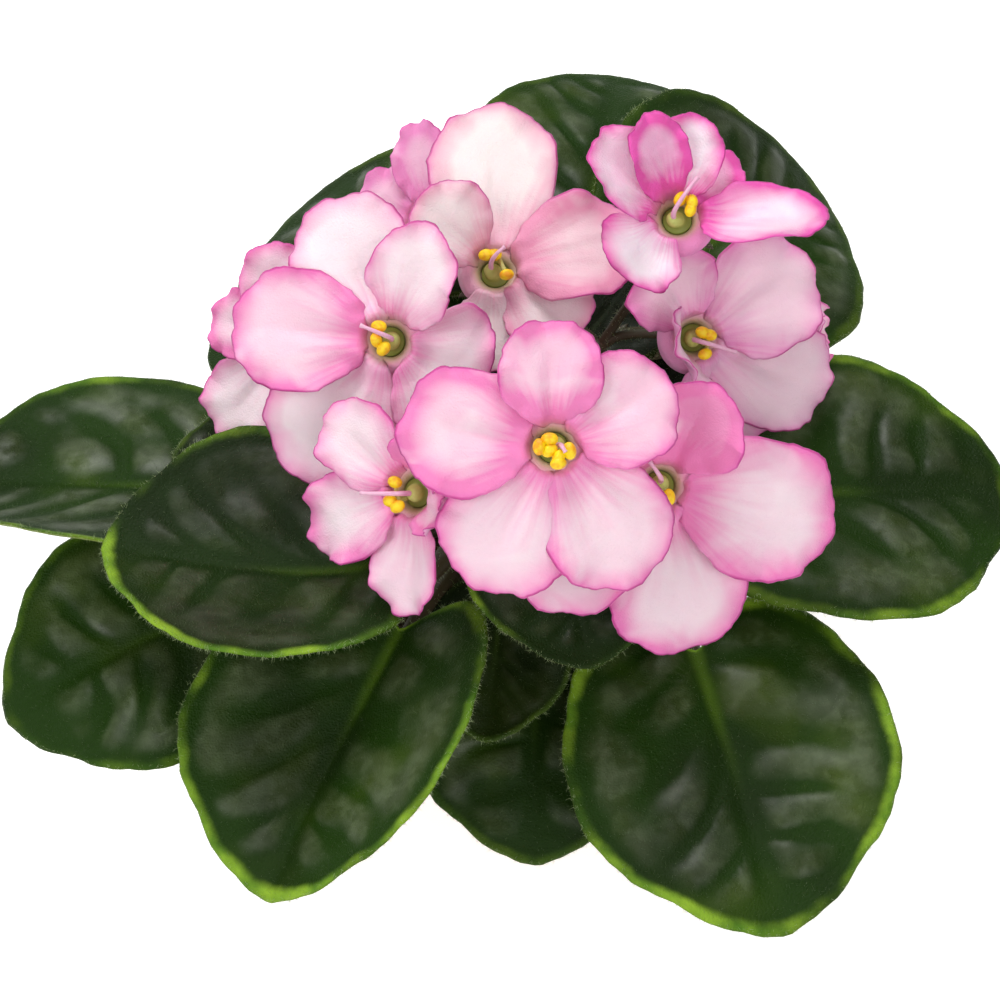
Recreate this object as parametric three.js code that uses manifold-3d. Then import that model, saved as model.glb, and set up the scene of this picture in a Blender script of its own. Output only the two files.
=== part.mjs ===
// A potted African violet: a clay pot filled with soil, a short crown, a rosette of round hairy leaves
// and ten pink and white blooms on four flower stalks.
// Millimetres, +Z up. The origin is the middle of the pot's underside, and -Y is the front.
import * as THREE from "three";
import { mergeVertices } from "three/addons/utils/BufferGeometryUtils.js";
import Module from "manifold-3d";

const wasm = await Module();
wasm.setup();

// Driving dimensions
const CLEARANCE = 0.3;

const POT = {
  height: 66,
  rimRadius: 39,
  rimHeight: 15,
  rimStep: 2.6,
  footRadius: 27,
  wall: 3.4,
  floor: 5,
  sides: 30,
  drainRadius: 3.5,
  drainCircle: 14,
  drains: 4,
};

const SOIL = { drop: 8, dome: 2.2, lump: 0.7, sides: 24, holeDepth: 24 };

const CROWN = { rootRadius: 5, neckRadius: 8, topRadius: 5.2, top: 87, sides: 12 };

const LEAF = {
  thickness: 1.3,
  middle: 0.42, // the blade's middle, as a share of the way from stalk to tip
  round: 0.59, // the blade's radius, as a share of its length
  notch: 0.17, // how far the heart-shaped notch cuts in, as a share of the length
  teeth: 14,
  toothDepth: 0.006,
  stalkRadius: 2.2,
  stalkRadiusAtBlade: 1.8,
  ribRadius: 0.8,
};

const PETAL = {
  thickness: 0.8,
  middle: 0.56, // the blade's middle, as a share of the way from throat to tip
  waist: 0.34, // how much narrower the petal is at the throat
  base: 0.6, // lower makes the base of the petal broader
  ruffle: 0.9,
  ruffles: 6,
  layer: 0.85, // how far one petal lies behind the next
};

const THROAT = {
  inner: 2.4,
  foot: 3.2,
  mouth: 3.8,
  wall: 0.8,
  depth: 3.4,
  petalStart: 2.9,
  dip: 1.2, // how far the petals sink where they enter the throat
  joined: 8, // the distance from the middle within which the petals come to one height
};

const STALK = {
  radius: 1.5,
  pedicelRadius: 0.85,
  receptacle: 2.1,
  sepalLength: 6.5,
  sepalWidth: 2.2,
  bractLength: 6,
};

const ANTHER = { radius: 0.95, stretch: 1.35, height: 1.6, step: 0.4, filamentRadius: 0.4 };

const PISTIL = {
  discRadius: 2.1,
  discHeight: 1.2,
  ovaryRadius: 1.45,
  ovaryHeight: 3.8,
  styleRadius: 0.42,
  styleLength: 7.5,
};

// Each leaf has the middle of its blade, the way it points in plan (anticlockwise from +X), the slope at
// which it droops, and its length from stalk to tip and width. Bend turns the tip down, fold lifts both
// halves about the midrib, cup lifts the edge all round, and node is the height at which the stalk leaves
// the crown. Roll lifts the left side, and curl lifts the edge by a number of millimetres about one
// direction, where a leaf has them.
const LEAVES = [
  {
    name: "leaf_01_left", middle: [-70.6, -4.6, 79.6], points: 178, droop: 2,
    length: 52, width: 53, bend: 14, fold: 8, cup: 2, node: 73,
    roll: 20, curl: [70, 3],
  },
  {
    name: "leaf_02_front_left_low", middle: [-65, -30.2, 71], points: 206, droop: 8,
    length: 45, width: 50, bend: 14, fold: 3, cup: -1, node: 68,
  },
  {
    name: "leaf_03_left_upper", middle: [-43.1, -29.9, 94], points: 174, droop: 1,
    length: 42.4, width: 49, bend: 10, fold: 8, cup: 5, node: 80,
    roll: 8,
  },
  {
    name: "leaf_04_front_left", middle: [-28.8, -53.6, 79], points: 244, droop: 12,
    length: 48, width: 55, bend: 16, fold: 18, cup: 1, node: 73,
    roll: 18,
  },
  {
    name: "leaf_05_front_low", middle: [2.2, -47.2, 70], points: 270, droop: 14,
    length: 37, width: 43, bend: 18, fold: 4, cup: -1, node: 68,
  },
  {
    name: "leaf_06_front_right", middle: [34.6, -55.5, 74], points: 284, droop: 8,
    length: 49, width: 56, bend: 20, fold: 4, cup: 1, node: 71,
  },
  {
    name: "leaf_07_right", middle: [56.9, -9.4, 85], points: 9, droop: 9,
    length: 48, width: 56.2, bend: 20, fold: 4, cup: 1, node: 76,
  },
  {
    name: "leaf_08_back_right", middle: [39.8, 50.8, 84], points: 46, droop: 18,
    length: 46, width: 58, bend: 20, fold: 4, cup: 0, node: 74,
    roll: 22,
  },
  {
    name: "leaf_09_back", middle: [16, 72, 80], points: 82, droop: 10,
    length: 45, width: 50, bend: 20, fold: 4, cup: 0, node: 68,
  },
  {
    name: "leaf_10_back_left", middle: [-23.9, 44.2, 87], points: 118, droop: 16,
    length: 44, width: 58, bend: 20, fold: 4, cup: 0, node: 79,
    roll: -12,
  },
  {
    name: "leaf_11_left_back", middle: [-33, 29, 76], points: 156, droop: 12,
    length: 44, width: 50, bend: 16, fold: 4, cup: 0, node: 69,
  },
  {
    name: "leaf_12_left_young", middle: [-44, -5, 90], points: 186, droop: -2,
    length: 26, width: 26, bend: 8, fold: 6, cup: 1, node: 77,
    roll: 5,
  },
  {
    name: "leaf_13_front_young", middle: [8, -29.5, 93.3], points: 280, droop: 6,
    length: 30, width: 36, bend: 10, fold: 6, cup: 2.5, node: 81,
  },
  {
    name: "leaf_14_front_inner", middle: [-4.4, -37.6, 78], points: 264, droop: 12,
    length: 24, width: 26, bend: 12, fold: 6, cup: 1, node: 76,
  },
  {
    name: "leaf_15_back_right_inner", middle: [16.8, 26.3, 94.3], points: 57, droop: -6,
    length: 25, width: 28, bend: 12, fold: 5, cup: 1, node: 80,
  },
  {
    name: "leaf_16_right_inner", middle: [21.4, 9.4, 88.8], points: 22, droop: -4,
    length: 19.5, width: 21, bend: 10, fold: 5, cup: 1, node: 78,
  },
  {
    name: "leaf_17_front_right_inner", middle: [17.5, -23, 81.5], points: 306, droop: 0,
    length: 22, width: 22, bend: 10, fold: 5, cup: 1, node: 78,
    roll: -10,
  },
  {
    name: "leaf_18_crown", middle: [-8, 7, 102], points: 140, droop: -48,
    length: 16, width: 13, bend: -20, fold: 14, cup: 1, node: 85,
  },
  {
    name: "leaf_19_crown", middle: [9, -2, 101], points: -12, droop: -50,
    length: 15, width: 12, bend: -20, fold: 14, cup: 1, node: 85,
  },
  {
    name: "leaf_20_crown", middle: [-6, -6, 99], points: 222, droop: -50,
    length: 13, width: 10, bend: -20, fold: 14, cup: 1, node: 85,
  },
];

// Each bloom has its middle, the way it faces (turn from the front towards +X, and rise above the horizon),
// the way its style leans (angle round the face, share of the full lean), and how far the top of its ovary
// leans. Its anther lobes stand in two groups, each lobe with its place in the face and its heading.
// The petals come from the uppermost to the lowest: angle round the face, length, width, lift off the face
// plane, backward bend, cup and, where a petal has it, roll about its own length.
const BLOOMS = [
  {
    name: "bloom_01_front", middle: [4.5, -30.7, 132], turn: 0, rise: 57, style: [-60, 0.25],
    ovary: [0.9, 0.65],
    anthers: [
      [[-0.6, -0.5, 30], [-0.6, 1.2, 0], [-2.2, 0, 90]],
      [[0.8, -1.5, 55], [2.4, -0.6, 100], [0.7, -2.5, 10]],
    ],
    petals: [
      [92, 19.5, 16, 14, 20, 1.2], [28, 20.5, 18, 10, 20, 1.2],
      [170, 24, 20, 6, 22, 0.8], [305, 25, 20, 4, 22, 0.6], [241, 25, 21, 0, 22, 0.6],
    ],
  },
  {
    name: "bloom_02_front_right", middle: [22, -27.4, 116], turn: 8, rise: 52, style: [120, 0.6],
    ovary: [0, 1], anthers: [[[0.7, -1.6, 90]], [[-1.4, -0.8, 0]]],
    petals: [
      [61, 19.5, 16, 30, 10, 3.5, -0.15], [135, 13, 13, 12, 20, 1.5],
      [341, 29.5, 23, 6, 22, 1], [213, 28, 19, 4, 22, 1], [274, 28.5, 23, 0, 22, 1],
    ],
  },
  {
    name: "bloom_03_left", middle: [-21.6, -6, 126], turn: -15, rise: 57, style: [170, 0.75],
    ovary: [1, 0.4], anthers: [[[-1.4, -0.4, 120], [0.1, -1.5, 60]], [[-1.4, 1.8, 10]]],
    petals: [
      [73, 21, 15, 30, 10, 2.5, -0.2], [186, 25.5, 20, 14, 22, 1],
      [125, 25, 20, 10, 20, 1], [343, 17, 23, 6, 20, 1], [248, 27.5, 24, 2, 22, 1],
    ],
  },
  {
    name: "bloom_04_back", middle: [-4.4, 15, 118], turn: 0, rise: 74, style: [40, 0.5],
    ovary: [-1, 0], anthers: [[[-0.2, 1.7, 0], [-1.5, 1.6, 10]], [[1.9, -2, 10]]],
    petals: [
      [141, 17.5, 15, 30, 10, 1.5], [12, 24.5, 19, 12, 20, 1],
      [91, 31, 22, 6, 16, 1], [326, 18, 17, 4, 20, 1], [270, 17, 16, 2, 20, 1],
    ],
  },
  {
    name: "bloom_05_back_right", middle: [25, 13.3, 134], turn: -8, rise: 72, style: [60, 1],
    ovary: [-0.8, -0.7], anthers: [[[0.2, 2, 60]], [[2, 0.2, 80], [2.1, 1.5, 100]]],
    petals: [
      [118, 17.5, 10, 44, 10, 1.5, 0.2], [88, 16.5, 12, 30, 10, 1.5], [151, 19.5, 13, 30, -8, 4, 0.4],
      [3, 24.5, 12, 14, 8, 3, -0.5], [231, 13, 15.5, 8, 26, 1], [58, 14.5, 11, 14, 10, 1],
    ],
  },
  {
    name: "bloom_06_right", middle: [29.6, 6.4, 110], turn: 22, rise: 50, style: [325, 1],
    ovary: [-1, 0], anthers: [[[0.6, 0.8, -35], [1.6, 0.1, -35]], [[-0.2, -2.7, 0]]],
    petals: [
      [188, 14, 14, 72, 10, 2], [104, 15.5, 17, 14, 16, 1],
      [14, 24, 21, 10, 20, 1], [321, 27, 20, 4, 20, 1], [280, 22, 17, 0, 20, 1],
    ],
  },
  {
    name: "bloom_07_front_left", middle: [-18, -29.9, 118], turn: -45, rise: 45, style: [215, 1],
    ovary: [0.3, 0.2], anthers: [[[-2.2, 0.6, 20]], [[-1, -2.2, 30], [0.7, -2, 60]]],
    petals: [
      [85, 12, 11, 40, 10, 2], [171, 19, 14, 16, 16, 1],
      [233, 21, 15, 8, 20, 1], [12, 11, 9, 46, 10, 2], [298, 20, 12, 4, 10, 2],
    ],
  },
  {
    name: "bloom_08_left_behind", middle: [-39.8, 6.4, 108], turn: -20, rise: 52, style: [120, 0.6],
    ovary: [0.4, 0.8], anthers: [[[-1.4, 0, 100]], [[0.3, -1.8, 20], [1.5, -1, 60]]],
    petals: [
      [110, 17.5, 13, 12, 16, 1], [55, 15, 13, 10, 16, 1],
      [172, 14.5, 12, 8, 20, 1], [246, 20, 15, 4, 20, 1], [310, 16, 14, 2, 20, 1],
    ],
  },
  {
    name: "bloom_09_back_left", middle: [-16.2, 33.1, 108], turn: -60, rise: 66, style: [100, 1],
    ovary: [0.4, 0.8], anthers: [[[-1.4, 0, 100]], [[0.3, -1.8, 20], [1.5, -1, 60]]],
    petals: [
      [149, 18.5, 10, 16, 10, 1.5], [206, 15, 14, 14, 10, 1],
      [90, 15, 14, 10, 16, 1], [30, 16, 15, 6, 20, 1], [300, 14, 14, 4, 20, 1],
    ],
  },
  {
    name: "bloom_10_right_behind", middle: [48.5, 15.8, 95.2], turn: 85, rise: 20, style: [90, 0.3],
    ovary: [0.4, 0.8], anthers: [[[-1.4, 0, 100]], [[0.3, -1.8, 20], [1.5, -1, 60]]],
    petals: [
      [126, 10, 9, 60, 10, 1.2], [54, 10, 9, 60, 10, 1.2],
      [198, 10, 9, 58, 10, 1.2], [342, 11, 8, 54, 10, 1.2], [270, 10, 9, 60, 10, 1.2],
    ],
  },
];

// Each flower stalk leaves the crown, forks, and carries the blooms named by their place in BLOOMS.
const STALKS = [
  { name: "flower_stalk_01_front", foot: [0.5, -3, 83], fork: [1, -13, 109], blooms: [0, 1, 6] },
  { name: "flower_stalk_02_left", foot: [-3.2, 0.5, 83], fork: [-16, 4, 104], blooms: [2, 7] },
  { name: "flower_stalk_03_back", foot: [-0.5, 3.2, 83], fork: [-5, 16, 101], blooms: [3, 8] },
  { name: "flower_stalk_04_right", foot: [3.2, 0.5, 83], fork: [14, 12.5, 100.5], blooms: [4, 5, 9] },
];

const FINISHES = {
  clay: { color: 0xb5683f, roughness: 0.85, metalness: 0 },
  soil: { color: 0x2b1f17, roughness: 1, metalness: 0 },
  crown: { color: 0x6d7a3a, roughness: 0.7, metalness: 0 },
  leaf: { color: 0x23401c, roughness: 0.35, metalness: 0 },
  stalk: { color: 0x7c7446, roughness: 0.6, metalness: 0 },
  petal: { color: 0xf0a9cf, roughness: 0.5, metalness: 0 },
  anther: { color: 0xf0b90e, roughness: 0.55, metalness: 0 },
  pistil: { color: 0xc98aa4, roughness: 0.5, metalness: 0 },
};

// Helpers
const radians = THREE.MathUtils.degToRad;
const UP = new THREE.Vector3(0, 0, 1);
const vector = (point) => new THREE.Vector3(...point);

// A value that looks random but is the same on every run.
const jitter = (seed) => {
  const wave = Math.sin(seed * 127.1 + 11.7) * 43758.5453;
  return wave - Math.floor(wave);
};

// A closed geometry as a solid that can be joined and cut.
function solidOf(geometry) {
  const bare = geometry.clone();
  bare.deleteAttribute("normal");
  bare.deleteAttribute("uv");
  const merged = mergeVertices(bare, 1e-4);
  return new wasm.Manifold(
    new wasm.Mesh({
      numProp: 3,
      vertProperties: merged.attributes.position.array,
      triVerts: new Uint32Array(merged.index.array),
    }),
  );
}

// Solids joined into one body, with sealed hollows filled and loose scraps dropped.
function joined(solids) {
  return biggest(solids.reduce((whole, next) => whole.add(next)));
}

function biggest(solid) {
  return solid.decompose().reduce((a, b) => (b.volume() > a.volume() ? b : a));
}

// A solid as a named mesh with its finish.
function meshOf(name, solid, finish) {
  const { vertProperties, triVerts } = solid.getMesh();
  const geometry = new THREE.BufferGeometry();
  geometry.setAttribute("position", new THREE.BufferAttribute(vertProperties, 3));
  geometry.setIndex(new THREE.BufferAttribute(triVerts, 1));
  const mesh = new THREE.Mesh(geometry, new THREE.MeshStandardMaterial(FINISHES[finish]));
  mesh.name = name;
  return mesh;
}

// A solid of revolution about Z from a profile of [radius, height] points.
function turned(profile, sides) {
  const points = profile.map(([radius, height]) => new THREE.Vector2(radius, height));
  return new THREE.LatheGeometry(points, sides).rotateX(Math.PI / 2);
}

// A tube with closed ends along a curve, whose radius follows radiusAt(share of the way).
function taperedTube(curve, radiusAt, sides, steps) {
  const frames = curve.computeFrenetFrames(steps, false);
  const positions = [];
  const index = [];
  for (let i = 0; i <= steps; i++) {
    const centre = curve.getPointAt(i / steps);
    for (let j = 0; j < sides; j++) {
      const angle = (j / sides) * 2 * Math.PI;
      const point = centre
        .clone()
        .addScaledVector(frames.normals[i], radiusAt(i / steps) * Math.cos(angle))
        .addScaledVector(frames.binormals[i], radiusAt(i / steps) * Math.sin(angle));
      positions.push(...point);
    }
  }
  const at = (i, j) => i * sides + (j % sides);
  for (let i = 0; i < steps; i++)
    for (let j = 0; j < sides; j++)
      index.push(at(i, j), at(i, j + 1), at(i + 1, j), at(i, j + 1), at(i + 1, j + 1), at(i + 1, j));
  for (let j = 1; j < sides - 1; j++) {
    index.push(at(0, 0), at(0, j + 1), at(0, j));
    index.push(at(steps, 0), at(steps, j), at(steps, j + 1));
  }
  return indexed(positions, index);
}

function indexed(positions, index) {
  const geometry = new THREE.BufferGeometry();
  geometry.setAttribute("position", new THREE.Float32BufferAttribute(positions, 3));
  geometry.setIndex(index);
  return geometry;
}

// A thin closed blade made of rings of points round its middle. place(share, angle, side) gives each
// point: share is 0 in the middle and 1 at the edge, and side is 1 on the upper face, -1 on the lower
// and 0 at the edge. Both faces have the same triangles, so they never cross.
function blade(rings, place) {
  const positions = [];
  const faceStart = [];
  const edge = rings.at(-1);
  const addRing = (ring, side) => {
    const start = positions.length / 3;
    for (let i = 0; i < ring.points; i++)
      positions.push(...place(ring.share, (i / ring.points) * 2 * Math.PI, side));
    return start;
  };
  for (const side of [1, -1]) {
    faceStart.push([positions.length / 3]);
    positions.push(...place(0, 0, side));
    for (const ring of rings.slice(0, -1)) faceStart.at(-1).push(addRing(ring, side));
  }
  const edgeStart = addRing(edge, 0);
  const index = [];
  faceStart.forEach(([middle, ...starts], face) => {
    const turn = (a, b, c) => (face === 0 ? index.push(a, b, c) : index.push(a, c, b));
    const all = [...starts, edgeStart];
    const inner = rings[0].points;
    for (let i = 0; i < inner; i++) turn(middle, all[0] + i, all[0] + ((i + 1) % inner));
    for (let r = 0; r + 1 < rings.length; r++) {
      const here = rings[r].points;
      const next = rings[r + 1].points;
      const from = (i) => all[r] + (i % here);
      const to = (i) => all[r + 1] + (i % next);
      for (let i = 0; i < here; i++) {
        if (next === here) {
          turn(from(i), to(i), to(i + 1));
          turn(from(i), to(i + 1), from(i + 1));
        } else {
          turn(from(i), to(2 * i), to(2 * i + 1));
          turn(from(i), to(2 * i + 1), from(i + 1));
          turn(from(i + 1), to(2 * i + 1), to(2 * i + 2));
        }
      }
    }
  });
  return indexed(positions, index);
}

// Places points of a strip that bends backwards along its length: along the strip, across it and off
// its face.
function bentStrip({ start, forward, across, normal, length, bend }) {
  const total = Math.max(radians(Math.abs(bend)), 1e-4) * Math.sign(bend || 1);
  const radius = length / total;
  return (along, side, height) => {
    const angle = (along / length) * total;
    return start
      .clone()
      .addScaledVector(forward, (radius + height) * Math.sin(angle))
      .addScaledVector(normal, (radius + height) * Math.cos(angle) - radius)
      .addScaledVector(across, side);
  };
}

// Leaves
// The frame of a leaf blade.
function leafStrip(leaf) {
  const heading = radians(leaf.points);
  const flat = new THREE.Vector3(Math.cos(heading), Math.sin(heading), 0);
  const across = new THREE.Vector3().crossVectors(UP, flat);
  const chord = flat.applyAxisAngle(across, radians(leaf.droop));
  across.applyAxisAngle(chord, radians(leaf.roll ?? 0));
  const normal = new THREE.Vector3().crossVectors(chord, across);
  const start = vector(leaf.middle).addScaledVector(chord, -LEAF.middle * leaf.length);
  const half = radians(leaf.bend) / 2;
  const length = (leaf.length * half) / Math.sin(half);
  const forward = chord.clone().applyAxisAngle(across, -half);
  normal.applyAxisAngle(across, -half);
  const place = bentStrip({ start, forward, across, normal, length, bend: leaf.bend });
  return { length, forward, foot: start, place };
}

// The outline of a leaf as a distance from its middle, for a leaf of length 1: round, with a blunt tip,
// two lobes and a notch at the stalk, and rounded teeth.
function leafOutline(angle) {
  const fromTip = Math.abs(Math.atan2(Math.sin(angle), Math.cos(angle)));
  const fromStalk = Math.PI - fromTip;
  const lobes = 0.06 * Math.exp(-(((fromStalk - 0.5) / 0.35) ** 2));
  const notch = LEAF.notch * Math.exp(-((fromStalk / 0.24) ** 2));
  const tip = 0.015 * Math.exp(-((fromTip / 0.25) ** 2)) - 0.045 * Math.exp(-(((fromTip - 0.7) / 0.4) ** 2));
  const tooth = LEAF.toothDepth * Math.cos(angle * LEAF.teeth);
  return LEAF.round + lobes - notch + tip + tooth;
}

function leafPoint(leaf, strip, share, angle, side) {
  const reach = share * THREE.MathUtils.lerp(LEAF.round, leafOutline(angle), share * share);
  const along = (LEAF.middle + reach * Math.cos(angle)) * strip.length;
  const across = (reach * Math.sin(angle) * leaf.width) / (2 * LEAF.round);
  const fold = radians(leaf.fold);
  const wave = 0.8 * Math.sin(3 * angle + leaf.node) * share ** 3;
  const [curlAngle, curlHeight] = leaf.curl ?? [0, 0];
  const curl = curlHeight * Math.exp(-(((angle - radians(curlAngle)) / 0.6) ** 2)) * share ** 4;
  const height = Math.abs(across) * Math.sin(fold) + leaf.cup * share * share + wave + curl;
  return strip.place(along, across * Math.cos(fold), height + (side * LEAF.thickness) / 2);
}

// The leaf stalk leaves the crown, arches to the foot of the blade and runs on under it as the midrib.
function leafStalk(leaf, strip) {
  const base = strip.foot;
  const outward = new THREE.Vector3(base.x, base.y, 0).normalize();
  const start = outward.clone().multiplyScalar(3).setZ(leaf.node);
  const reach = base.distanceTo(start);
  const under = (share, depth) => strip.place(share * strip.length, 0, -depth);
  const path = new THREE.CubicBezierCurve3(
    start,
    start.clone().addScaledVector(outward, reach * 0.4).addScaledVector(UP, reach * 0.16),
    under(0, 1.2).addScaledVector(strip.forward, -reach * 0.35),
    under(0, 1.2),
  );
  const line = new THREE.CatmullRomCurve3([
    ...path.getPoints(5),
    under(0.25, 0.8),
    under(0.5, 0.5),
  ]);
  const { stalkRadius, stalkRadiusAtBlade, ribRadius } = LEAF;
  const bladeShare = reach / (reach + 0.5 * strip.length);
  const radiusAt = (share) =>
    share < bladeShare
      ? THREE.MathUtils.lerp(stalkRadius, stalkRadiusAtBlade, share / bladeShare)
      : THREE.MathUtils.mapLinear(share, bladeShare, 1, stalkRadiusAtBlade, ribRadius);
  const size = Math.min(1, 0.3 + leaf.width / 66);
  return taperedTube(line, (share) => radiusAt(share) * size, 5, 7);
}

function leafSolid(leaf) {
  const strip = leafStrip(leaf);
  const sectors = leaf.width < 20 ? 5 : 7;
  const rings = [
    { share: 0.36, points: sectors },
    { share: 0.72, points: sectors * 2 },
    { share: 1, points: sectors * 4 },
  ];
  const place = (share, angle, side) => leafPoint(leaf, strip, share, angle, side);
  const bladeSolid = solidOf(blade(rings, place));
  return biggest(bladeSolid.add(solidOf(leafStalk(leaf, strip))).subtract(crownSolid(CLEARANCE)));
}

// Blooms
// The frame of a bloom: x to its right, y up its face and z out of it.
function bloomFrame(bloom) {
  const turn = radians(bloom.turn);
  const rise = radians(bloom.rise);
  const facing = new THREE.Vector3(
    Math.sin(turn) * Math.cos(rise),
    -Math.cos(turn) * Math.cos(rise),
    Math.sin(rise),
  );
  const upward = UP.clone().addScaledVector(facing, -UP.dot(facing)).normalize();
  const right = new THREE.Vector3().crossVectors(upward, facing);
  return new THREE.Matrix4().makeBasis(right, upward, facing).setPosition(vector(bloom.middle));
}

// Near the middle of a bloom its petals come to one height and dip into the throat.
function intoThroat(point, order) {
  const { petalStart, inner, mouth, dip, joined: reach } = THROAT;
  const distance = Math.hypot(point.x, point.y);
  const near = 1 - THREE.MathUtils.smoothstep(distance, petalStart, reach);
  const sunk = 1 - THREE.MathUtils.smoothstep(distance, inner, mouth + 1);
  return point.setZ(point.z + (order * PETAL.layer - 0.5) * near - dip * sunk);
}

// One petal in its bloom's frame: narrow at the throat, broad and round outside, with a ruffled edge.
function petalSolid([direction, length, width, lift, bend, cup, roll = 0], order) {
  const angle = radians(direction);
  const outward = new THREE.Vector3(Math.cos(angle), Math.sin(angle), 0);
  const across = new THREE.Vector3(-Math.sin(angle), Math.cos(angle), 0);
  const facing = new THREE.Vector3(0, 0, 1);
  const forward = outward.clone().applyAxisAngle(across, -radians(lift));
  const normal = facing.clone().applyAxisAngle(across, -radians(lift));
  const start = outward.clone().multiplyScalar(THROAT.petalStart).setZ(0.7 - order * PETAL.layer);
  const blunt = length - THROAT.petalStart;
  const place = bentStrip({ start, forward, across, normal, length: blunt, bend });
  const rings = [
    { share: 0.58, points: 7 },
    { share: 1, points: 14 },
  ];
  return solidOf(
    blade(rings, (share, turn, side) => {
      const outer = Math.cos(turn) > 0;
      const inward = -PETAL.middle * Math.abs(Math.cos(turn)) ** PETAL.base;
      const reach = share * (outer ? (1 - PETAL.middle) * Math.cos(turn) : inward);
      const waist = outer ? 1 : 1 - PETAL.waist * Math.abs(Math.cos(turn)) ** 1.5;
      const sideways = (Math.sin(turn) * share * waist * width) / 2;
      const waves = Math.sin(PETAL.ruffles * turn + direction) * share ** 4 * (outer ? 1 : 0.4);
      const along = PETAL.middle + reach;
      const tilt = roll * sideways * Math.min(1, Math.max(0, along * 2));
      const height = cup * ((2 * sideways) / width) ** 2 + PETAL.ruffle * waves + tilt;
      const half = (side * PETAL.thickness) / 2;
      return intoThroat(place(along * blunt, sideways, height + half), order);
    }),
  );
}

// The short tube that the petals grow from, open down its middle.
function throatSolid() {
  const { inner, foot, mouth, depth, wall } = THROAT;
  return solidOf(
    turned(
      [
        [inner, -depth],
        [foot, -depth],
        [mouth, -0.9],
        [mouth - wall, -0.5],
        [inner, -depth + wall],
        [inner, -depth],
      ],
      8,
    ),
  );
}

function corollaSolid(bloom) {
  return joined([throatSolid(), ...bloom.petals.map(petalSolid)]);
}

// A point given in a bloom's frame, in the object's frame.
const inBloom = (bloom, x, y, z) => new THREE.Vector3(x, y, z).applyMatrix4(bloomFrame(bloom));

// The lobes stand in two groups, and each group has a filament that rises from one root in the throat.
function stamensSolid(bloom) {
  const { radius, stretch, height, step, filamentRadius } = ANTHER;
  const root = new THREE.Vector3();
  bloom.anthers.flat().forEach(([x, y]) => root.add(new THREE.Vector3(x, y, 0)));
  root.setLength(THROAT.inner - 0.45);
  const solids = [];
  bloom.anthers.forEach((pair, group) => {
    const top = height + step * group;
    pair.forEach(([x, y, heading], i) => {
      const size = radius * (1 + 0.12 * jitter(i + 3 * group + bloom.turn));
      const lobe = new THREE.SphereGeometry(size, 5, 2).scale(1, stretch, 1);
      lobe.rotateX(0.12 * (i + 1)).rotateZ(radians(heading - 90)).translate(x, y, top + 0.2 * i);
      solids.push(solidOf(lobe));
    });
    const [x, y] = pair[0];
    const foot = root.clone().applyAxisAngle(UP, 0.13 - 0.26 * group);
    const filament = new THREE.CatmullRomCurve3([
      foot.clone().setZ(-THROAT.depth + 1 + 0.3 * group),
      foot.clone().setZ(0),
      new THREE.Vector3(x, y, top),
    ]);
    solids.push(solidOf(taperedTube(filament, () => filamentRadius, 3, 2)));
  });
  return joined(solids);
}

// The ovary stands on a low ring-shaped disc, and the style rises from its top.
function pistilSolid(bloom) {
  const { discRadius, discHeight, ovaryRadius, ovaryHeight, styleRadius, styleLength } = PISTIL;
  const seat = -THROAT.depth - 0.4;
  const top = seat + ovaryHeight;
  const angle = radians(bloom.style[0]);
  const lean = new THREE.Vector3(Math.cos(angle), Math.sin(angle), 0);
  const profile = [
    [0, seat],
    [discRadius, seat],
    [discRadius, seat + discHeight],
    [ovaryRadius, seat + discHeight + 0.9],
    [ovaryRadius * 0.75, top - 0.5],
    [0, top],
  ];
  const [tiltX, tiltY] = bloom.ovary;
  const ovary = turned(profile, 6);
  const points = ovary.attributes.position;
  for (let i = 0; i < points.count; i++) {
    const rise = points.getZ(i) - seat - discHeight;
    const share = Math.max(0, rise / (ovaryHeight - discHeight));
    points.setXY(i, points.getX(i) + tiltX * share, points.getY(i) + tiltY * share);
  }
  const reach = styleLength * 0.9 * bloom.style[1];
  const along = (out, z) => new THREE.Vector3(tiltX + lean.x * out, tiltY + lean.y * out, z);
  const style = new THREE.CatmullRomCurve3([
    along(0, top - 1.4).multiply(new THREE.Vector3(0.65, 0.65, 1)),
    along(Math.min(0.5, reach / 3), top + 1.8),
    along(reach / 2, styleLength * 0.48),
    along(reach, styleLength * 0.52),
  ]);
  const radiusAt = (share) => styleRadius * (share > 0.95 ? 1.5 : 1.6 - 0.8 * share);
  return joined([solidOf(ovary), solidOf(taperedTube(style, radiusAt, 4, 3))]);
}

// The top of a pedicel: a small cup under the bloom with five sepals spread behind the petals.
function calyxSolids(bloom) {
  const { receptacle, sepalLength, sepalWidth } = STALK;
  const seat = -THROAT.depth - CLEARANCE - 0.4;
  const profile = [
    [0, seat - 2.6],
    [1.1, seat - 2.2],
    [receptacle, seat - 0.8],
    [receptacle, seat],
    [0, seat],
  ];
  const solids = [turned(profile, 6)];
  for (let i = 0; i < 5; i++) {
    const angle = ((i + 0.5) / 5) * 2 * Math.PI;
    const sepal = new THREE.ConeGeometry(sepalWidth / 2, sepalLength, 3).scale(1, 1, 0.5);
    sepal.translate(0, sepalLength / 2, 0).rotateX(-radians(24));
    sepal.translate(0, receptacle - 1, seat - 0.9).rotateZ(angle);
    solids.push(sepal);
  }
  return solids.map((part) => solidOf(part.applyMatrix4(bloomFrame(bloom))));
}

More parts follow.
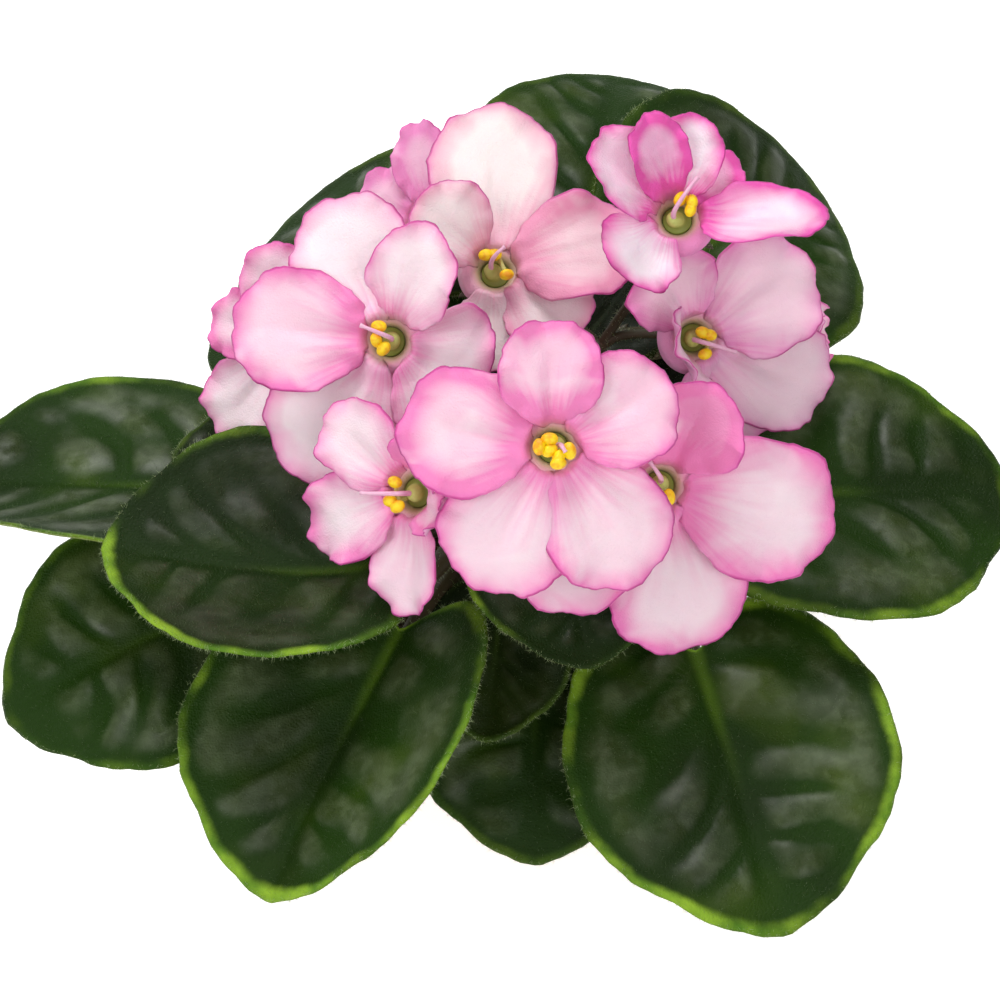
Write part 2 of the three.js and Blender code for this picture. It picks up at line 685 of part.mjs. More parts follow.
function flowerStalkSolid(stalk) {
  const foot = vector(stalk.foot);
  const fork = vector(stalk.fork);
  const rise = fork.distanceTo(foot);
  const stem = new THREE.CatmullRomCurve3([
    foot,
    foot.clone().lerp(fork, 0.5).addScaledVector(UP, rise * 0.08),
    fork,
  ]);
  const heading = stem.getTangent(1);
  const solids = [solidOf(taperedTube(stem, (share) => STALK.radius * (1 - 0.15 * share), 6, 4))];
  for (const bloom of stalk.blooms.map((place) => BLOOMS[place])) {
    const seat = -THROAT.depth - CLEARANCE - 2;
    const top = inBloom(bloom, 0, 0, seat);
    const below = inBloom(bloom, 0, 0, seat - fork.distanceTo(top) * 0.3);
    const start = fork.clone().addScaledVector(heading, -1.2);
    const turn = fork.clone().addScaledVector(heading, fork.distanceTo(top) * 0.25);
    const path = new THREE.CubicBezierCurve3(start, turn, below, top);
    solids.push(solidOf(taperedTube(path, () => STALK.pedicelRadius, 5, 5)), ...calyxSolids(bloom));
  }
  for (const side of [-1, 1]) {
    const bract = new THREE.ConeGeometry(1.1, STALK.bractLength, 4).scale(1, 1, 0.6);
    bract.translate(0, STALK.bractLength / 2, 0).rotateZ(side * radians(52));
    bract.rotateX(radians(20)).translate(fork.x, fork.y, fork.z - 1.4);
    solids.push(solidOf(bract));
  }
  return biggest(joined(solids).subtract(crownSolid(CLEARANCE)));
}

// Crown, soil and pot
const soilTop = POT.height - SOIL.drop;

// The crown, grown all round by a margin where a piece has to keep clear of it.
function crownSolid(margin = 0) {
  const { rootRadius, neckRadius, topRadius, top, sides } = CROWN;
  const foot = soilTop - SOIL.holeDepth + CLEARANCE;
  const profile = [
    [0, foot - margin],
    [rootRadius + margin, foot - margin],
    [rootRadius + margin, soilTop + 4],
    [neckRadius + margin, soilTop + 7],
    [neckRadius - 0.6 + margin, top - 8],
    [topRadius + margin, top - 2 + margin],
    [0, top + margin],
  ];
  return solidOf(turned(profile, sides));
}

// The inside of the pot at a height.
function potInside(height) {
  const { rimRadius, footRadius, wall } = POT;
  return THREE.MathUtils.lerp(footRadius, rimRadius, height / POT.height) - wall;
}

function potSolid() {
  const { height, rimRadius, rimHeight, rimStep, footRadius, floor, sides, drainRadius } = POT;
  const rimFoot = height - rimHeight;
  const underRim = THREE.MathUtils.lerp(footRadius, rimRadius, rimFoot / height) - rimStep / 2;
  const profile = [
    [0, 0],
    [footRadius - 1, 0],
    [footRadius, 1],
    [underRim, rimFoot],
    [underRim + rimStep, rimFoot + 0.8],
    [rimRadius, height - 1],
    [rimRadius - 1, height],
    [potInside(height) + 0.8, height],
    [potInside(height), height - 0.8],
    [potInside(floor), floor],
    [0, floor],
  ];
  let pot = solidOf(turned(profile, sides));
  for (let i = 0; i < POT.drains; i++) {
    const angle = ((i + 0.5) / POT.drains) * 2 * Math.PI;
    const drain = new THREE.CylinderGeometry(drainRadius, drainRadius, floor * 3, 10).rotateX(Math.PI / 2);
    drain.translate(POT.drainCircle * Math.cos(angle), POT.drainCircle * Math.sin(angle), 0);
    pot = pot.subtract(solidOf(drain));
  }
  return pot;
}

// Soil fills the pot, with a lumpy top and a plain hole for the crown.
function soilSolid() {
  const bottom = POT.floor + CLEARANCE;
  const hole = CROWN.rootRadius + CLEARANCE;
  const edge = potInside(soilTop) - CLEARANCE;
  const rings = [hole, hole + 8, hole + 16, edge];
  const profile = [
    [0, bottom],
    [potInside(bottom) - CLEARANCE, bottom],
    ...rings.toReversed().map((radius) => [radius, soilTop + SOIL.dome * (1 - (radius / edge) ** 2)]),
    [hole, soilTop - SOIL.holeDepth],
    [0, soilTop - SOIL.holeDepth],
  ];
  const geometry = turned(profile, SOIL.sides);
  const points = geometry.attributes.position;
  for (let i = 0; i < points.count; i++) {
    const [x, y, z] = [points.getX(i), points.getY(i), points.getZ(i)];
    const radius = Math.hypot(x, y);
    const onTop = z > soilTop && radius > hole + 1 && radius < edge - 1;
    if (onTop) points.setZ(i, z + SOIL.lump * (2 * jitter(Math.round(x * 7) + Math.round(y * 13)) - 1));
  }
  return solidOf(geometry);
}

// Put together
const violet = new THREE.Group();
violet.name = "potted_african_violet";

violet.add(meshOf("pot", potSolid(), "clay"));
violet.add(meshOf("soil", soilSolid(), "soil"));
violet.add(meshOf("crown", crownSolid(), "crown"));
for (const leaf of LEAVES) violet.add(meshOf(leaf.name, leafSolid(leaf), "leaf"));
for (const stalk of STALKS) violet.add(meshOf(stalk.name, flowerStalkSolid(stalk), "stalk"));
for (const bloom of BLOOMS) {
  const parts = [
    meshOf(`${bloom.name}_petals`, corollaSolid(bloom), "petal"),
    meshOf(`${bloom.name}_stamens`, stamensSolid(bloom), "anther"),
    meshOf(`${bloom.name}_pistil`, pistilSolid(bloom), "pistil"),
  ];
  for (const part of parts) {
    bloomFrame(bloom).decompose(part.position, part.quaternion, part.scale);
    violet.add(part);
  }
}

export default violet;
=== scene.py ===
# %% [markdown]
# # A potted African violet
# The plant is a rosette of round, fleshy, hairy leaves that grow from one short stem. Flower stalks rise
# from its middle, fork, and carry blooms with five thin petals each. The pot and the soil are hidden under
# the leaves, but they are made in full, because the model is looked at from every side.
#
# The solid model comes first, as a fixed frame. It gives each piece its place and its size. Every piece made
# here is a finer version of one of its nodes, so it follows the same rule as that node, with more points.

# %% load the frame
import math
import random
import bpy
import numpy as np
from mathutils import Matrix, Vector, noise


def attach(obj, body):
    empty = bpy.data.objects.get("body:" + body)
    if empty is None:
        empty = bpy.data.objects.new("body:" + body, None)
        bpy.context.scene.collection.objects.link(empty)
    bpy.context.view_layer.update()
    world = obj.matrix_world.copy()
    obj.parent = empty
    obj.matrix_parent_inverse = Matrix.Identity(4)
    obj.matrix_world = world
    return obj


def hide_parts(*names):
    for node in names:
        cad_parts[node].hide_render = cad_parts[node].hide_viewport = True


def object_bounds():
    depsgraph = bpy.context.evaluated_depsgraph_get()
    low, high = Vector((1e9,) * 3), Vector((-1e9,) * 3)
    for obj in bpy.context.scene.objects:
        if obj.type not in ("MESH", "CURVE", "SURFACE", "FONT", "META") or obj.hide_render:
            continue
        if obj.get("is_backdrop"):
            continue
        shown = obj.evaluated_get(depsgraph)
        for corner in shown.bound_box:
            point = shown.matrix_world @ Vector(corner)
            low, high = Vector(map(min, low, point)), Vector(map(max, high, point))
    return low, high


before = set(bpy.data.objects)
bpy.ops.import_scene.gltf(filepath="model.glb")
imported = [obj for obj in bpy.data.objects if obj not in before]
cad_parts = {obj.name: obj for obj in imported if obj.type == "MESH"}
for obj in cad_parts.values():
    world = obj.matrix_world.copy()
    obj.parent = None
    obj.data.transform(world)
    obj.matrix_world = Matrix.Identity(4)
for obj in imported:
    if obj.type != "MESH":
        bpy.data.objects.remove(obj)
solid_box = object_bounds()
bpy.ops.object.select_all(action="DESELECT")
print("nodes in the frame:", len(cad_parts))

# %% [markdown]
# ## Camera, floor and light
# The plant is seen from the front and well above. A long lens at about 0.44 m keeps the leaves round. The
# light on such a plant is soft and broad: one large lamp above and behind makes the dull sheen on the leaves,
# and two weaker ones keep the shadows between the petals open. The floor is plain and pale.

# %% camera
MM = 0.001
RISE = math.radians(57)
DISTANCE = 440 * MM
LOOK_AT = Vector((-3.6, 0, 70)) * MM
VIEW_WIDTH = 180 * MM
SENSOR_WIDTH = 36

back = Vector((0, -math.cos(RISE), math.sin(RISE)))
bpy.ops.object.camera_add(location=LOOK_AT + back * DISTANCE)
camera = bpy.context.object
camera.rotation_euler = (-back).to_track_quat("-Z", "Y").to_euler()
camera.data.sensor_width = SENSOR_WIDTH
camera.data.lens = SENSOR_WIDTH * DISTANCE / VIEW_WIDTH
camera.data.clip_start = 0.01
bpy.context.scene.camera = camera
print("camera lens:", round(camera.data.lens, 1), "mm")

# %% lamps and sky
def add_lamp(name, place, size, watts):
    """A square lamp that points at the middle of the plant."""
    bpy.ops.object.light_add(type="AREA", location=place)
    lamp = bpy.context.object
    lamp.name = name
    lamp.rotation_euler = (LOOK_AT - Vector(place)).to_track_quat("-Z", "Y").to_euler()
    lamp.data.size = size
    lamp.data.energy = watts


add_lamp("window", (-0.12, 0.5, 0.9), 0.6, 6.8)
add_lamp("room_left", (-0.7, -0.35, 0.8), 0.7, 4.8)
add_lamp("room_front", (0.35, -0.7, 0.8), 0.8, 4.9)

world = bpy.data.worlds.new("sky")
bpy.context.scene.world = world
world.use_nodes = True
sky = world.node_tree.nodes["Background"].inputs
sky["Color"].default_value = (0.95, 0.97, 1, 1)
sky["Strength"].default_value = 0.14
bpy.context.scene.view_settings.view_transform = "Standard"

# %% [markdown]
# ## Shader sums
# A finish is a sum of masks: how far a point lies from a vein, how near the edge it is, how the noise runs
# there. Written as nodes such sums are long, so one small class wraps a socket and lets Python's own signs
# add the nodes. The smooth step works on arrays of points too, so shapes and colours share it.

# %% a value in a shader
class Value:
    """A socket that can be used in sums."""

    def __init__(self, finish, socket):
        self.finish = finish
        self.socket = socket

    def math(self, operation, *others):
        node = self.finish.tree.nodes.new("ShaderNodeMath")
        node.operation = operation
        for socket, value in zip(node.inputs, (self, *others)):
            self.finish.feed(socket, value)
        return Value(self.finish, node.outputs[0])

    def __add__(self, other):
        return self.math("ADD", other)

    def __sub__(self, other):
        return self.math("SUBTRACT", other)

    def __mul__(self, other):
        return self.math("MULTIPLY", other)

    def __truediv__(self, other):
        return self.math("DIVIDE", other)

    def __rsub__(self, other):
        return (self * -1) + other

    def __abs__(self):
        return self.math("ABSOLUTE")

    __radd__ = __add__
    __rmul__ = __mul__


def step(value, low, high):
    """0 below low, 1 above high and smooth between them, of a shader value or of an array."""
    if isinstance(value, Value):
        return value.finish.add(
            "MapRange",
            {"interpolation_type": "SMOOTHSTEP"},
            {"Value": value, "From Min": low, "From Max": high},
        )
    share = np.clip((value - low) / (high - low), 0, 1)
    return share * share * (3 - 2 * share)


# %% a finish
def rgb(code):
    """A colour as Blender's linear numbers, from its usual six-figure code."""
    parts = [int(code[i : i + 2], 16) / 255 for i in (0, 2, 4)]
    return (*[p / 12.92 if p < 0.04 else ((p + 0.055) / 1.055) ** 2.4 for p in parts], 1)


class Finish:
    """A material that is built from shader values."""

    def __init__(self, name, **constants):
        self.material = bpy.data.materials.new(name)
        self.material.use_nodes = True
        self.tree = self.material.node_tree
        self.shader = self.tree.nodes["Principled BSDF"]
        for socket, value in constants.items():
            self.shader.inputs[socket.replace("_", " ")].default_value = value

    def feed(self, socket, value):
        if isinstance(value, Value):
            self.tree.links.new(value.socket, socket)
        else:
            socket.default_value = value

    def add(self, kind, settings=None, inputs=None, output=0):
        """Any other node: its settings first, then the values of its sockets."""
        node = self.tree.nodes.new("ShaderNode" + kind)
        for name, value in (settings or {}).items():
            setattr(node, name, value)
        for name, value in (inputs or {}).items():
            self.feed(node.inputs[name], value)
        return Value(self, node.outputs[output])

    def mix(self, factor, first, second):
        """From one colour to another."""
        return self.add("Mix", {"data_type": "RGBA"}, {0: factor, 6: first, 7: second}, 2)

    def place(self):
        """The point's place in the object's frame, in metres."""
        return self.add("TexCoord", output="Object")

    def attribute(self, name):
        """A number that the mesh holds at each point."""
        return self.add("Attribute", {"attribute_name": name}, output="Fac")

    def flat(self):
        """The two coordinates of the piece's own flat map."""
        split = self.add("SeparateXYZ", inputs={0: self.add("UVMap")})
        return split, Value(self, split.socket.node.outputs[1])

    def speckle(self, scale, detail=2, **others):
        """Noise from 0 to 1. Scale is the number of lumps to a metre."""
        inputs = {"Vector": self.place(), "Scale": scale, "Detail": detail, **others}
        return self.add("TexNoise", inputs=inputs)

    def streaks(self, along, across):
        """Noise from 0 to 1 on two numbers of the piece's own, such as its flat map."""
        spot = self.add("CombineXYZ", inputs={0: along, 1: across})
        return self.add("TexNoise", inputs={"Vector": spot, "Scale": 3, "Detail": 3})

    def relief(self, height, depth):
        """Bump of that many metres, on top of what the finish already has."""
        bump = self.add("Bump", inputs={"Strength": 1, "Distance": depth, "Height": height})
        self.feed(self.shader.inputs["Normal"], bump)

    def colour(self, value):
        self.feed(self.shader.inputs["Base Color"], value)

    def roughness(self, value):
        self.feed(self.shader.inputs["Roughness"], value)


def speckled_finish(name, roughness, scale, first, second, detail=2):
    """A finish whose colour wanders between two, in lumps of one size."""
    finish = Finish(name, Roughness=roughness)
    finish.colour(finish.mix(finish.speckle(scale, detail), rgb(first), rgb(second)))
    return finish


# %% [markdown]
# ## From a primitive to a piece
# Leaves and petals are thin bodies with two faces and a rounded edge. A sphere has just that: an upper half,
# a lower half and an equator. So each blade starts as a sphere primitive that is pressed flat: the pole
# becomes the blade's middle, the equator its edge, and a rule for the piece then places every point.

# %% points and numbers of a mesh
def deselect():
    bpy.ops.object.select_all(action="DESELECT")


def pick(piece):
    """Selects one piece alone and makes it the active one."""
    deselect()
    piece.select_set(True)
    bpy.context.view_layer.objects.active = piece


def points_of(piece):
    points = np.empty(len(piece.data.vertices) * 3)
    piece.data.vertices.foreach_get("co", points)
    return points.reshape(-1, 3)


def set_points(piece, points):
    piece.data.vertices.foreach_set("co", np.ascontiguousarray(points, dtype=float).ravel())
    piece.data.update()


def store(piece, name, values):
    """Keeps a number at each point for the finish to read."""
    attribute = piece.data.attributes.new(name, "FLOAT", "POINT")
    attribute.data.foreach_set("value", np.ascontiguousarray(values, dtype=np.float32))


def face_means(piece, name):
    """The mean of a stored number over the corners of each face."""
    values = np.empty(len(piece.data.vertices), dtype=np.float32)
    piece.data.attributes[name].data.foreach_get("value", values)
    return np.array([values[list(face.vertices)].mean() for face in piece.data.polygons])


def of_faces(piece, what, width):
    """What Blender knows of each face, such as its area or its normal, as rows of that width."""
    values = np.empty(len(piece.data.polygons) * width)
    piece.data.polygons.foreach_get(what, values)
    return values.reshape(-1, width)


def store_flat_map(piece, along, across):
    """Writes the piece's flat map from two numbers at each point."""
    corners = np.empty(len(piece.data.loops), dtype=int)
    piece.data.loops.foreach_get("vertex_index", corners)
    layer = piece.data.uv_layers.active or piece.data.uv_layers.new(name="UVMap")
    layer.data.foreach_set("uv", np.stack([along[corners], across[corners]], -1).ravel())


# %% pressed blades
ROUND_EDGE = 14  # the higher, the flatter a blade is up to its rounded edge


def hump(value, width, centre=0):
    """1 at the centre and falling smoothly to nothing at about two widths from it."""
    return np.exp(-(((value - centre) / width) ** 2))


def pressed_sphere(name, segments, rings):
    """A sphere primitive, with each point's share (0 middle, 1 edge), turn and side (1 above, -1 below)."""
    deselect()
    bpy.ops.mesh.primitive_uv_sphere_add(segments=segments, ring_count=rings, radius=1)
    piece = bpy.context.object
    piece.name = name
    points = points_of(piece)
    polar = np.arccos(np.clip(abs(points[:, 2]), 0, 1)) / (math.pi / 2)
    share = 0.5 * polar + 0.5 * np.sin(polar * math.pi / 2)
    turn = np.mod(np.arctan2(points[:, 1], points[:, 0]), 2 * math.pi)
    side = np.where(points[:, 2] > 0, 1, -1) * np.sqrt(np.clip(1 - share**ROUND_EDGE, 0, 1))
    return piece, share, turn, side


# %% strips that bend
def turned_about(vector, axis, degrees):
    return Matrix.Rotation(math.radians(degrees), 3, axis) @ vector


def bent_strip(start, forward, across, normal, length, bend):
    """A rule that places points of a strip which bends backwards: along it, across it and off its face."""
    total = max(math.radians(abs(bend)), 1e-4) * (1 if bend >= 0 else -1)
    radius = length / total
    start, forward, across, normal = (np.array(v) for v in (start, forward, across, normal))

    def place(along, sideways, height):
        angle = np.asarray(along, float)[..., None] / radius
        height = np.asarray(height, float)[..., None]
        sideways = np.asarray(sideways, float)[..., None]
        return (
            start
            + forward * (radius + height) * np.sin(angle)
            + normal * ((radius + height) * np.cos(angle) - radius)
            + across * sideways
        )

    return place


# %% tubes along a line
def smooth_line(points, steps):
    """Points on a curve that passes through the given ones."""
    points = [np.array(p, float) for p in points]
    points = [2 * points[0] - points[1], *points, 2 * points[-1] - points[-2]]
    line = []
    for a, b, c, d in zip(points, points[1:], points[2:], points[3:]):
        for i in range(steps):
            t = i / steps
            square, cube = 2 * a - 5 * b + 4 * c - d, 3 * b - a - 3 * c + d
            line.append(0.5 * (2 * b + (c - a) * t + square * t**2 + cube * t**3))
    return np.array([*line, points[-2]])


def bezier_line(a, b, c, d, steps):
    """Points on the curve that leaves a towards b and reaches d from c."""
    t = np.linspace(0, 1, steps + 1)[:, None]
    a, b, c, d = (np.array(p, float) for p in (a, b, c, d))
    return a * (1 - t) ** 3 + 3 * b * t * (1 - t) ** 2 + 3 * c * t**2 * (1 - t) + d * t**3


def tube(name, line, radii, smoothness=3):
    """A curve with a round section that narrows along it, made a closed mesh. Millimetres."""
    curve = bpy.data.curves.new(name, "CURVE")
    curve.dimensions = "3D"
    curve.bevel_depth = 1
    curve.bevel_resolution = smoothness
    curve.use_fill_caps = True
    spline = curve.splines.new("POLY")
    spline.points.add(len(line) - 1)
    for point, place, radius in zip(spline.points, line, radii):
        point.co = (*place, 1)
        point.radius = radius
    piece = bpy.data.objects.new(name, curve)
    bpy.context.scene.collection.objects.link(piece)
    pick(piece)
    bpy.ops.object.convert(target="MESH")
    weld(bpy.context.object)
    return bpy.context.object


def weld(piece):
    """Merges doubled points and turns the faces outwards."""
    pick(piece)
    bpy.ops.object.mode_set(mode="EDIT")
    bpy.ops.mesh.select_all(action="SELECT")
    bpy.ops.mesh.remove_doubles(threshold=1e-4)
    bpy.ops.mesh.normals_make_consistent(inside=False)
    bpy.ops.object.mode_set(mode="OBJECT")


# %% joining and finishing
def join(name, parts):
    """Several objects as one piece."""
    deselect()
    for part in parts:
        part.select_set(True)
    bpy.context.view_layer.objects.active = parts[0]
    if len(parts) > 1:
        bpy.ops.object.join()
    parts[0].name = name
    return parts[0]


def dress(piece, finish):
    """Gives a piece its finish."""
    piece.data.materials.clear()
    piece.data.materials.append(finish.material)
    return piece


def seat(piece, node, slot):
    """Turns a piece made in millimetres into metres and lets it stand for its node."""
    piece.data.transform(Matrix.Scale(MM, 4))
    piece.data.polygons.foreach_set("use_smooth", [True] * len(piece.data.polygons))
    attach(piece, "root")
    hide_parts(node)
    return piece


# %% [markdown]
# ## Hairs
# Leaves and stalks are covered with short, clear, upright hairs. Hair curves would be lost when the model is
# saved, so each hair is a thin three-sided spike, modelled once as a cone and copied to many roots, which are
# spread over the surface by a seeded draw.

# %% one hair, many roots
deselect()
bpy.ops.mesh.primitive_cone_add(vertices=3, radius1=1, radius2=0, depth=1, location=(0, 0, 0.5))
one_hair = bpy.context.object
bpy.ops.object.transform_apply(location=True)
HAIR_POINTS = points_of(one_hair)
HAIR_FACES = [tuple(face.vertices) for face in one_hair.data.polygons]
HAIR_SCATTER = 0.35  # how far a root lies from the middle of its face, for a face of side 1
HAIR_LEAN = 0.45
HAIR_SUNK = 0.1
bpy.data.objects.remove(one_hair)
print("one hair:", len(HAIR_FACES), "faces")


def hairs(name, piece, count, length, radius, seed, keep=None):
    """Hairs that stand on the faces of a piece, or on those that keep marks. Millimetres."""
    draw = np.random.default_rng(seed)
    centres = of_faces(piece, "center", 3)
    # Blender may number a mesh's faces in another order each time, so the draw takes them in order of place.
    ordered = np.lexsort(centres.T)
    areas = of_faces(piece, "area", 1)[:, 0]
    weights = (areas if keep is None else areas * keep)[ordered]
    chosen = ordered[draw.choice(len(areas), count, p=weights / weights.sum())]
    normal = of_faces(piece, "normal", 3)[chosen]
    spread = draw.normal(0, 1, (count, 3))
    sideways = spread - normal * (spread * normal).sum(1)[:, None]
    root = centres[chosen] + sideways * np.sqrt(areas[chosen])[:, None] * HAIR_SCATTER
    up = normal + HAIR_LEAN * draw.normal(0, 1, (count, 3))
    up /= np.linalg.norm(up, axis=1)[:, None]
    right = np.cross(up, draw.normal(0, 1, (count, 3)))
    right /= np.linalg.norm(right, axis=1)[:, None]
    front = np.cross(up, right)
    tall = length * draw.uniform(0.6, 1.2, (count, 1, 1))
    shape = HAIR_POINTS[None]
    points = (
        root[:, None] - up[:, None] * HAIR_SUNK
        + right[:, None] * shape[..., :1] * radius
        + front[:, None] * shape[..., 1:2] * radius
        + up[:, None] * shape[..., 2:] * tall
    )
    faces = [tuple(i * len(HAIR_POINTS) + v for v in face) for i in range(count) for face in HAIR_FACES]
    made = bpy.data.meshes.new(name)
    made.from_pydata(points.reshape(-1, 3).tolist(), [], faces)
    hair = bpy.data.objects.new(name, made)
    bpy.context.scene.collection.objects.link(hair)
    return hair


# %% [markdown]
# ## Leaf finish
# The upper side is very dark green. Where the skin swells between the side veins it is smooth and glossy, and
# its grey-green, mottled look there is painted sheen on top of that gloss; in the valleys over the veins it is
# darker and duller. Broad dark patches, and the leaves that stand deep under the blooms, are darkened with
# painted shade. The midrib is a soft lighter line that fades towards the tip. The edge is lime green, more in
# some places than in others, and painted stronger on edges that face the light, which is painted light. The
# underside is pale olive.
# All this could be painted by hand, but the rule that shapes a leaf knows how swollen each point is, how lime
# green its edge may be and how much painted shade it gets. It stores these numbers at the points, and one
# finish reads them for every leaf.

# %% the leaf's colours
def leaf_finish(name, valley, swollen, silvery):
    finish = Finish(name, Specular_IOR_Level=0.15, Coat_Roughness=0.39)
    along, wide = finish.flat()
    across = wide - 0.5
    rim = finish.attribute("rim")
    above = finish.attribute("above")
    shade = finish.attribute("shade")
    cloud = finish.speckle(55, 2)
    broad = finish.speckle(140, 3)
    patchy = finish.speckle(170, 4)
    fine = finish.speckle(2600, 2)
    uneven = (broad - 0.5) * 0.9 + (cloud - 0.5) * 0.7
    puffed = step(finish.attribute("swell") + uneven, 0.2, 0.95)
    # Painted sheen: on the swellings the skin turns a mottled grey-green, on top of the coat's real gloss.
    mottle = step(finish.speckle(330, 4, Distortion=0.4), 0.38, 0.7)
    skin = finish.mix(puffed, rgb(valley), finish.mix(mottle, rgb(swollen), rgb(silvery)))
    skin = finish.mix(step(cloud, 0.5, 0.8) * 0.3, skin, rgb("52680f"))
    midrib = 1 - step(abs(across + (broad - 0.5) * 0.02), 0, 0.042 - along * 0.022)
    skin = finish.mix(midrib * (1 - step(along, 0.05, 0.62)) * 0.42, skin, rgb("64861f"))
    # Painted shade: broad dark patches at random and each leaf's stored shade darken the skin to near-black
    # green.
    dark = step(finish.speckle(34, 2), 0.42, 0.66) * 0.5
    skin = finish.mix(dark * (1 - shade) + shade, skin, rgb("0b1402"))
    # The lime edge: the leaf's own colour, painted stronger on the edges that face the light.
    lit = step(cloud, 0.3, 0.6) * finish.attribute("lime")
    edge = step(rim + (broad - 0.5) * 0.08 + (cloud - 0.5) * 0.06, 0.91, 0.975) * lit
    lime = finish.mix(step(broad, 0.3, 0.7), rgb("4f7a1c"), rgb("93b832"))
    skin = finish.mix(edge, skin, lime)
    under = finish.mix(fine, rgb("66792f"), rgb("8a9a48"))
    finish.colour(finish.mix(step(above, -0.25, 0.15), under, skin))
    finish.roughness(0.5 + fine * 0.1)
    # The coat's gloss is dimmed too where a leaf has painted shade.
    sheen = puffed * step(patchy, 0.32, 0.58) * (1 - edge) * (1 - shade * 0.7)
    finish.feed(finish.shader.inputs["Coat Weight"], sheen * 0.85)
    finish.relief(fine + broad * 2, 0.00025)
    return finish


# The swollen and silvery greys of each finish are painted sheen; the valley green is the leaf's own.
LEAF_FINISH = leaf_finish("leaf_green", "1b3601", "33421a", "4c5a38")
# The young leaves' finish is a darker copy: partly their own colour, partly painted shade, as they grow deep
# under the blooms.
YOUNG_FINISH = leaf_finish("young_leaf_shaded_green", "1a2e02", "2a3610", "42502f")

# %% hairs and stalks
coat_finish = speckled_finish("coat_hair", 0.5, 300, "2f451c", "7d8f66")
fringe_finish = speckled_finish("fringe_hair", 0.4, 300, "7f9a4a", "cfdcae")
stalk_finish = speckled_finish("stalk_skin", 0.5, 160, "323d17", "4d3425", 3)
stalk_finish.relief(stalk_finish.speckle(2500), 0.0001)
print("finishes so far:", [material.name for material in bpy.data.materials])

# %% [markdown]
# ## Leaves
# Each leaf is a stalk, a midrib under the blade and the blade itself. The blade is round with a heart-shaped
# notch at the stalk and small rounded teeth. Its skin swells between the veins. That could be sculpted leaf by
# leaf, but one rule with its own numbers for each leaf gives twenty that differ and can still be changed. The
# rows below hold what sets one leaf apart from the next, in millimetres and degrees.

# %% the rows of leaves
VEIN_GAP = 0.21
VEIN_SLOPE = 0.5
VEIN_CURVE = 0.6
LEAF_THICKNESS = 1.3
LEAF_MIDDLE = 0.42
LEAF_ROUND = 0.59
LEAF_NOTCH = 0.17
LEAF_TEETH = 14
GROWN = 30  # a leaf that is wider than this, in millimetres, is full-grown


def leaf_row(name, middle, points, droop, length, width, bend, fold, cup, node, roll=0, curl=(0, 0)):
    """Middle of the blade, heading, slope, length, width, backward bend, fold, cup and where it grows."""
    return locals()


# How lime green the edge of a leaf is. The lime is the edge's own colour, and it is painted stronger on
# edges that face the light and weaker on those in the shade, as painted light.
LIME = {
    "leaf_01_left": 0.7, "leaf_03_left_upper": 0.9, "leaf_04_front_left": 1, "leaf_06_front_right": 0.9,
    "leaf_07_right": 0.55, "leaf_13_front_young": 0.7, "leaf_02_front_left_low": 0.3,
}


# How much painted shade darkens a leaf beside the others: the young ones under the blooms see little light.
SHADE = {
    "leaf_03_left_upper": 0.4, "leaf_05_front_low": 0.25, "leaf_12_left_young": 0.3,
    "leaf_13_front_young": 0.4, "leaf_14_front_inner": 0.6, "leaf_15_back_right_inner": 0.85,
    "leaf_16_right_inner": 0.85, "leaf_17_front_right_inner": 0.7,
    "leaf_18_crown": 0.6, "leaf_19_crown": 0.6, "leaf_20_crown": 0.6,
}

LEAVES = [
    leaf_row("leaf_01_left", (-70.6, -4.6, 79.6), 178, 2, 52, 53, 14, 8, 2, 73, 20, (70, 3)),
    leaf_row("leaf_02_front_left_low", (-65, -30.2, 71), 206, 8, 45, 50, 14, 3, -1, 68),
    leaf_row("leaf_03_left_upper", (-43.1, -29.9, 94), 174, 1, 42.4, 49, 10, 8, 5, 80, 8),
    leaf_row("leaf_04_front_left", (-28.8, -53.6, 79), 244, 12, 48, 55, 16, 18, 1, 73, 18),
    leaf_row("leaf_05_front_low", (2.2, -47.2, 70), 270, 14, 37, 43, 18, 4, -1, 68),
    leaf_row("leaf_06_front_right", (34.6, -55.5, 74), 284, 8, 49, 56, 20, 4, 1, 71),
    leaf_row("leaf_07_right", (56.9, -9.4, 85), 9, 9, 48, 56.2, 20, 4, 1, 76),
    leaf_row("leaf_08_back_right", (39.8, 50.8, 84), 46, 18, 46, 58, 20, 4, 0, 74, 22),
    leaf_row("leaf_09_back", (16, 72, 80), 82, 10, 45, 50, 20, 4, 0, 68),
    leaf_row("leaf_10_back_left", (-23.9, 44.2, 87), 118, 16, 44, 58, 20, 4, 0, 79, -12),
    leaf_row("leaf_11_left_back", (-33, 29, 76), 156, 12, 44, 50, 16, 4, 0, 69),
    leaf_row("leaf_12_left_young", (-44, -5, 90), 186, -2, 26, 26, 8, 6, 1, 77, 5),
    leaf_row("leaf_13_front_young", (8, -29.5, 93.3), 280, 6, 30, 36, 10, 6, 2.5, 81),
    leaf_row("leaf_14_front_inner", (-4.4, -37.6, 78), 264, 12, 24, 26, 12, 6, 1, 76),
    leaf_row("leaf_15_back_right_inner", (16.8, 26.3, 94.3), 57, -6, 25, 28, 12, 5, 1, 80),
    leaf_row("leaf_16_right_inner", (21.4, 9.4, 88.8), 22, -4, 19.5, 21, 10, 5, 1, 78),
    leaf_row("leaf_17_front_right_inner", (17.5, -23, 81.5), 306, 0, 22, 22, 10, 5, 1, 78, -10),
    leaf_row("leaf_18_crown", (-8, 7, 102), 140, -48, 16, 13, -20, 14, 1, 85),
    leaf_row("leaf_19_crown", (9, -2, 101), -12, -50, 15, 12, -20, 14, 1, 85),
    leaf_row("leaf_20_crown", (-6, -6, 99), 222, -50, 13, 10, -20, 14, 1, 85),
]
print("leaves to make:", len(LEAVES), "full-grown:", sum(leaf["width"] > GROWN for leaf in LEAVES))


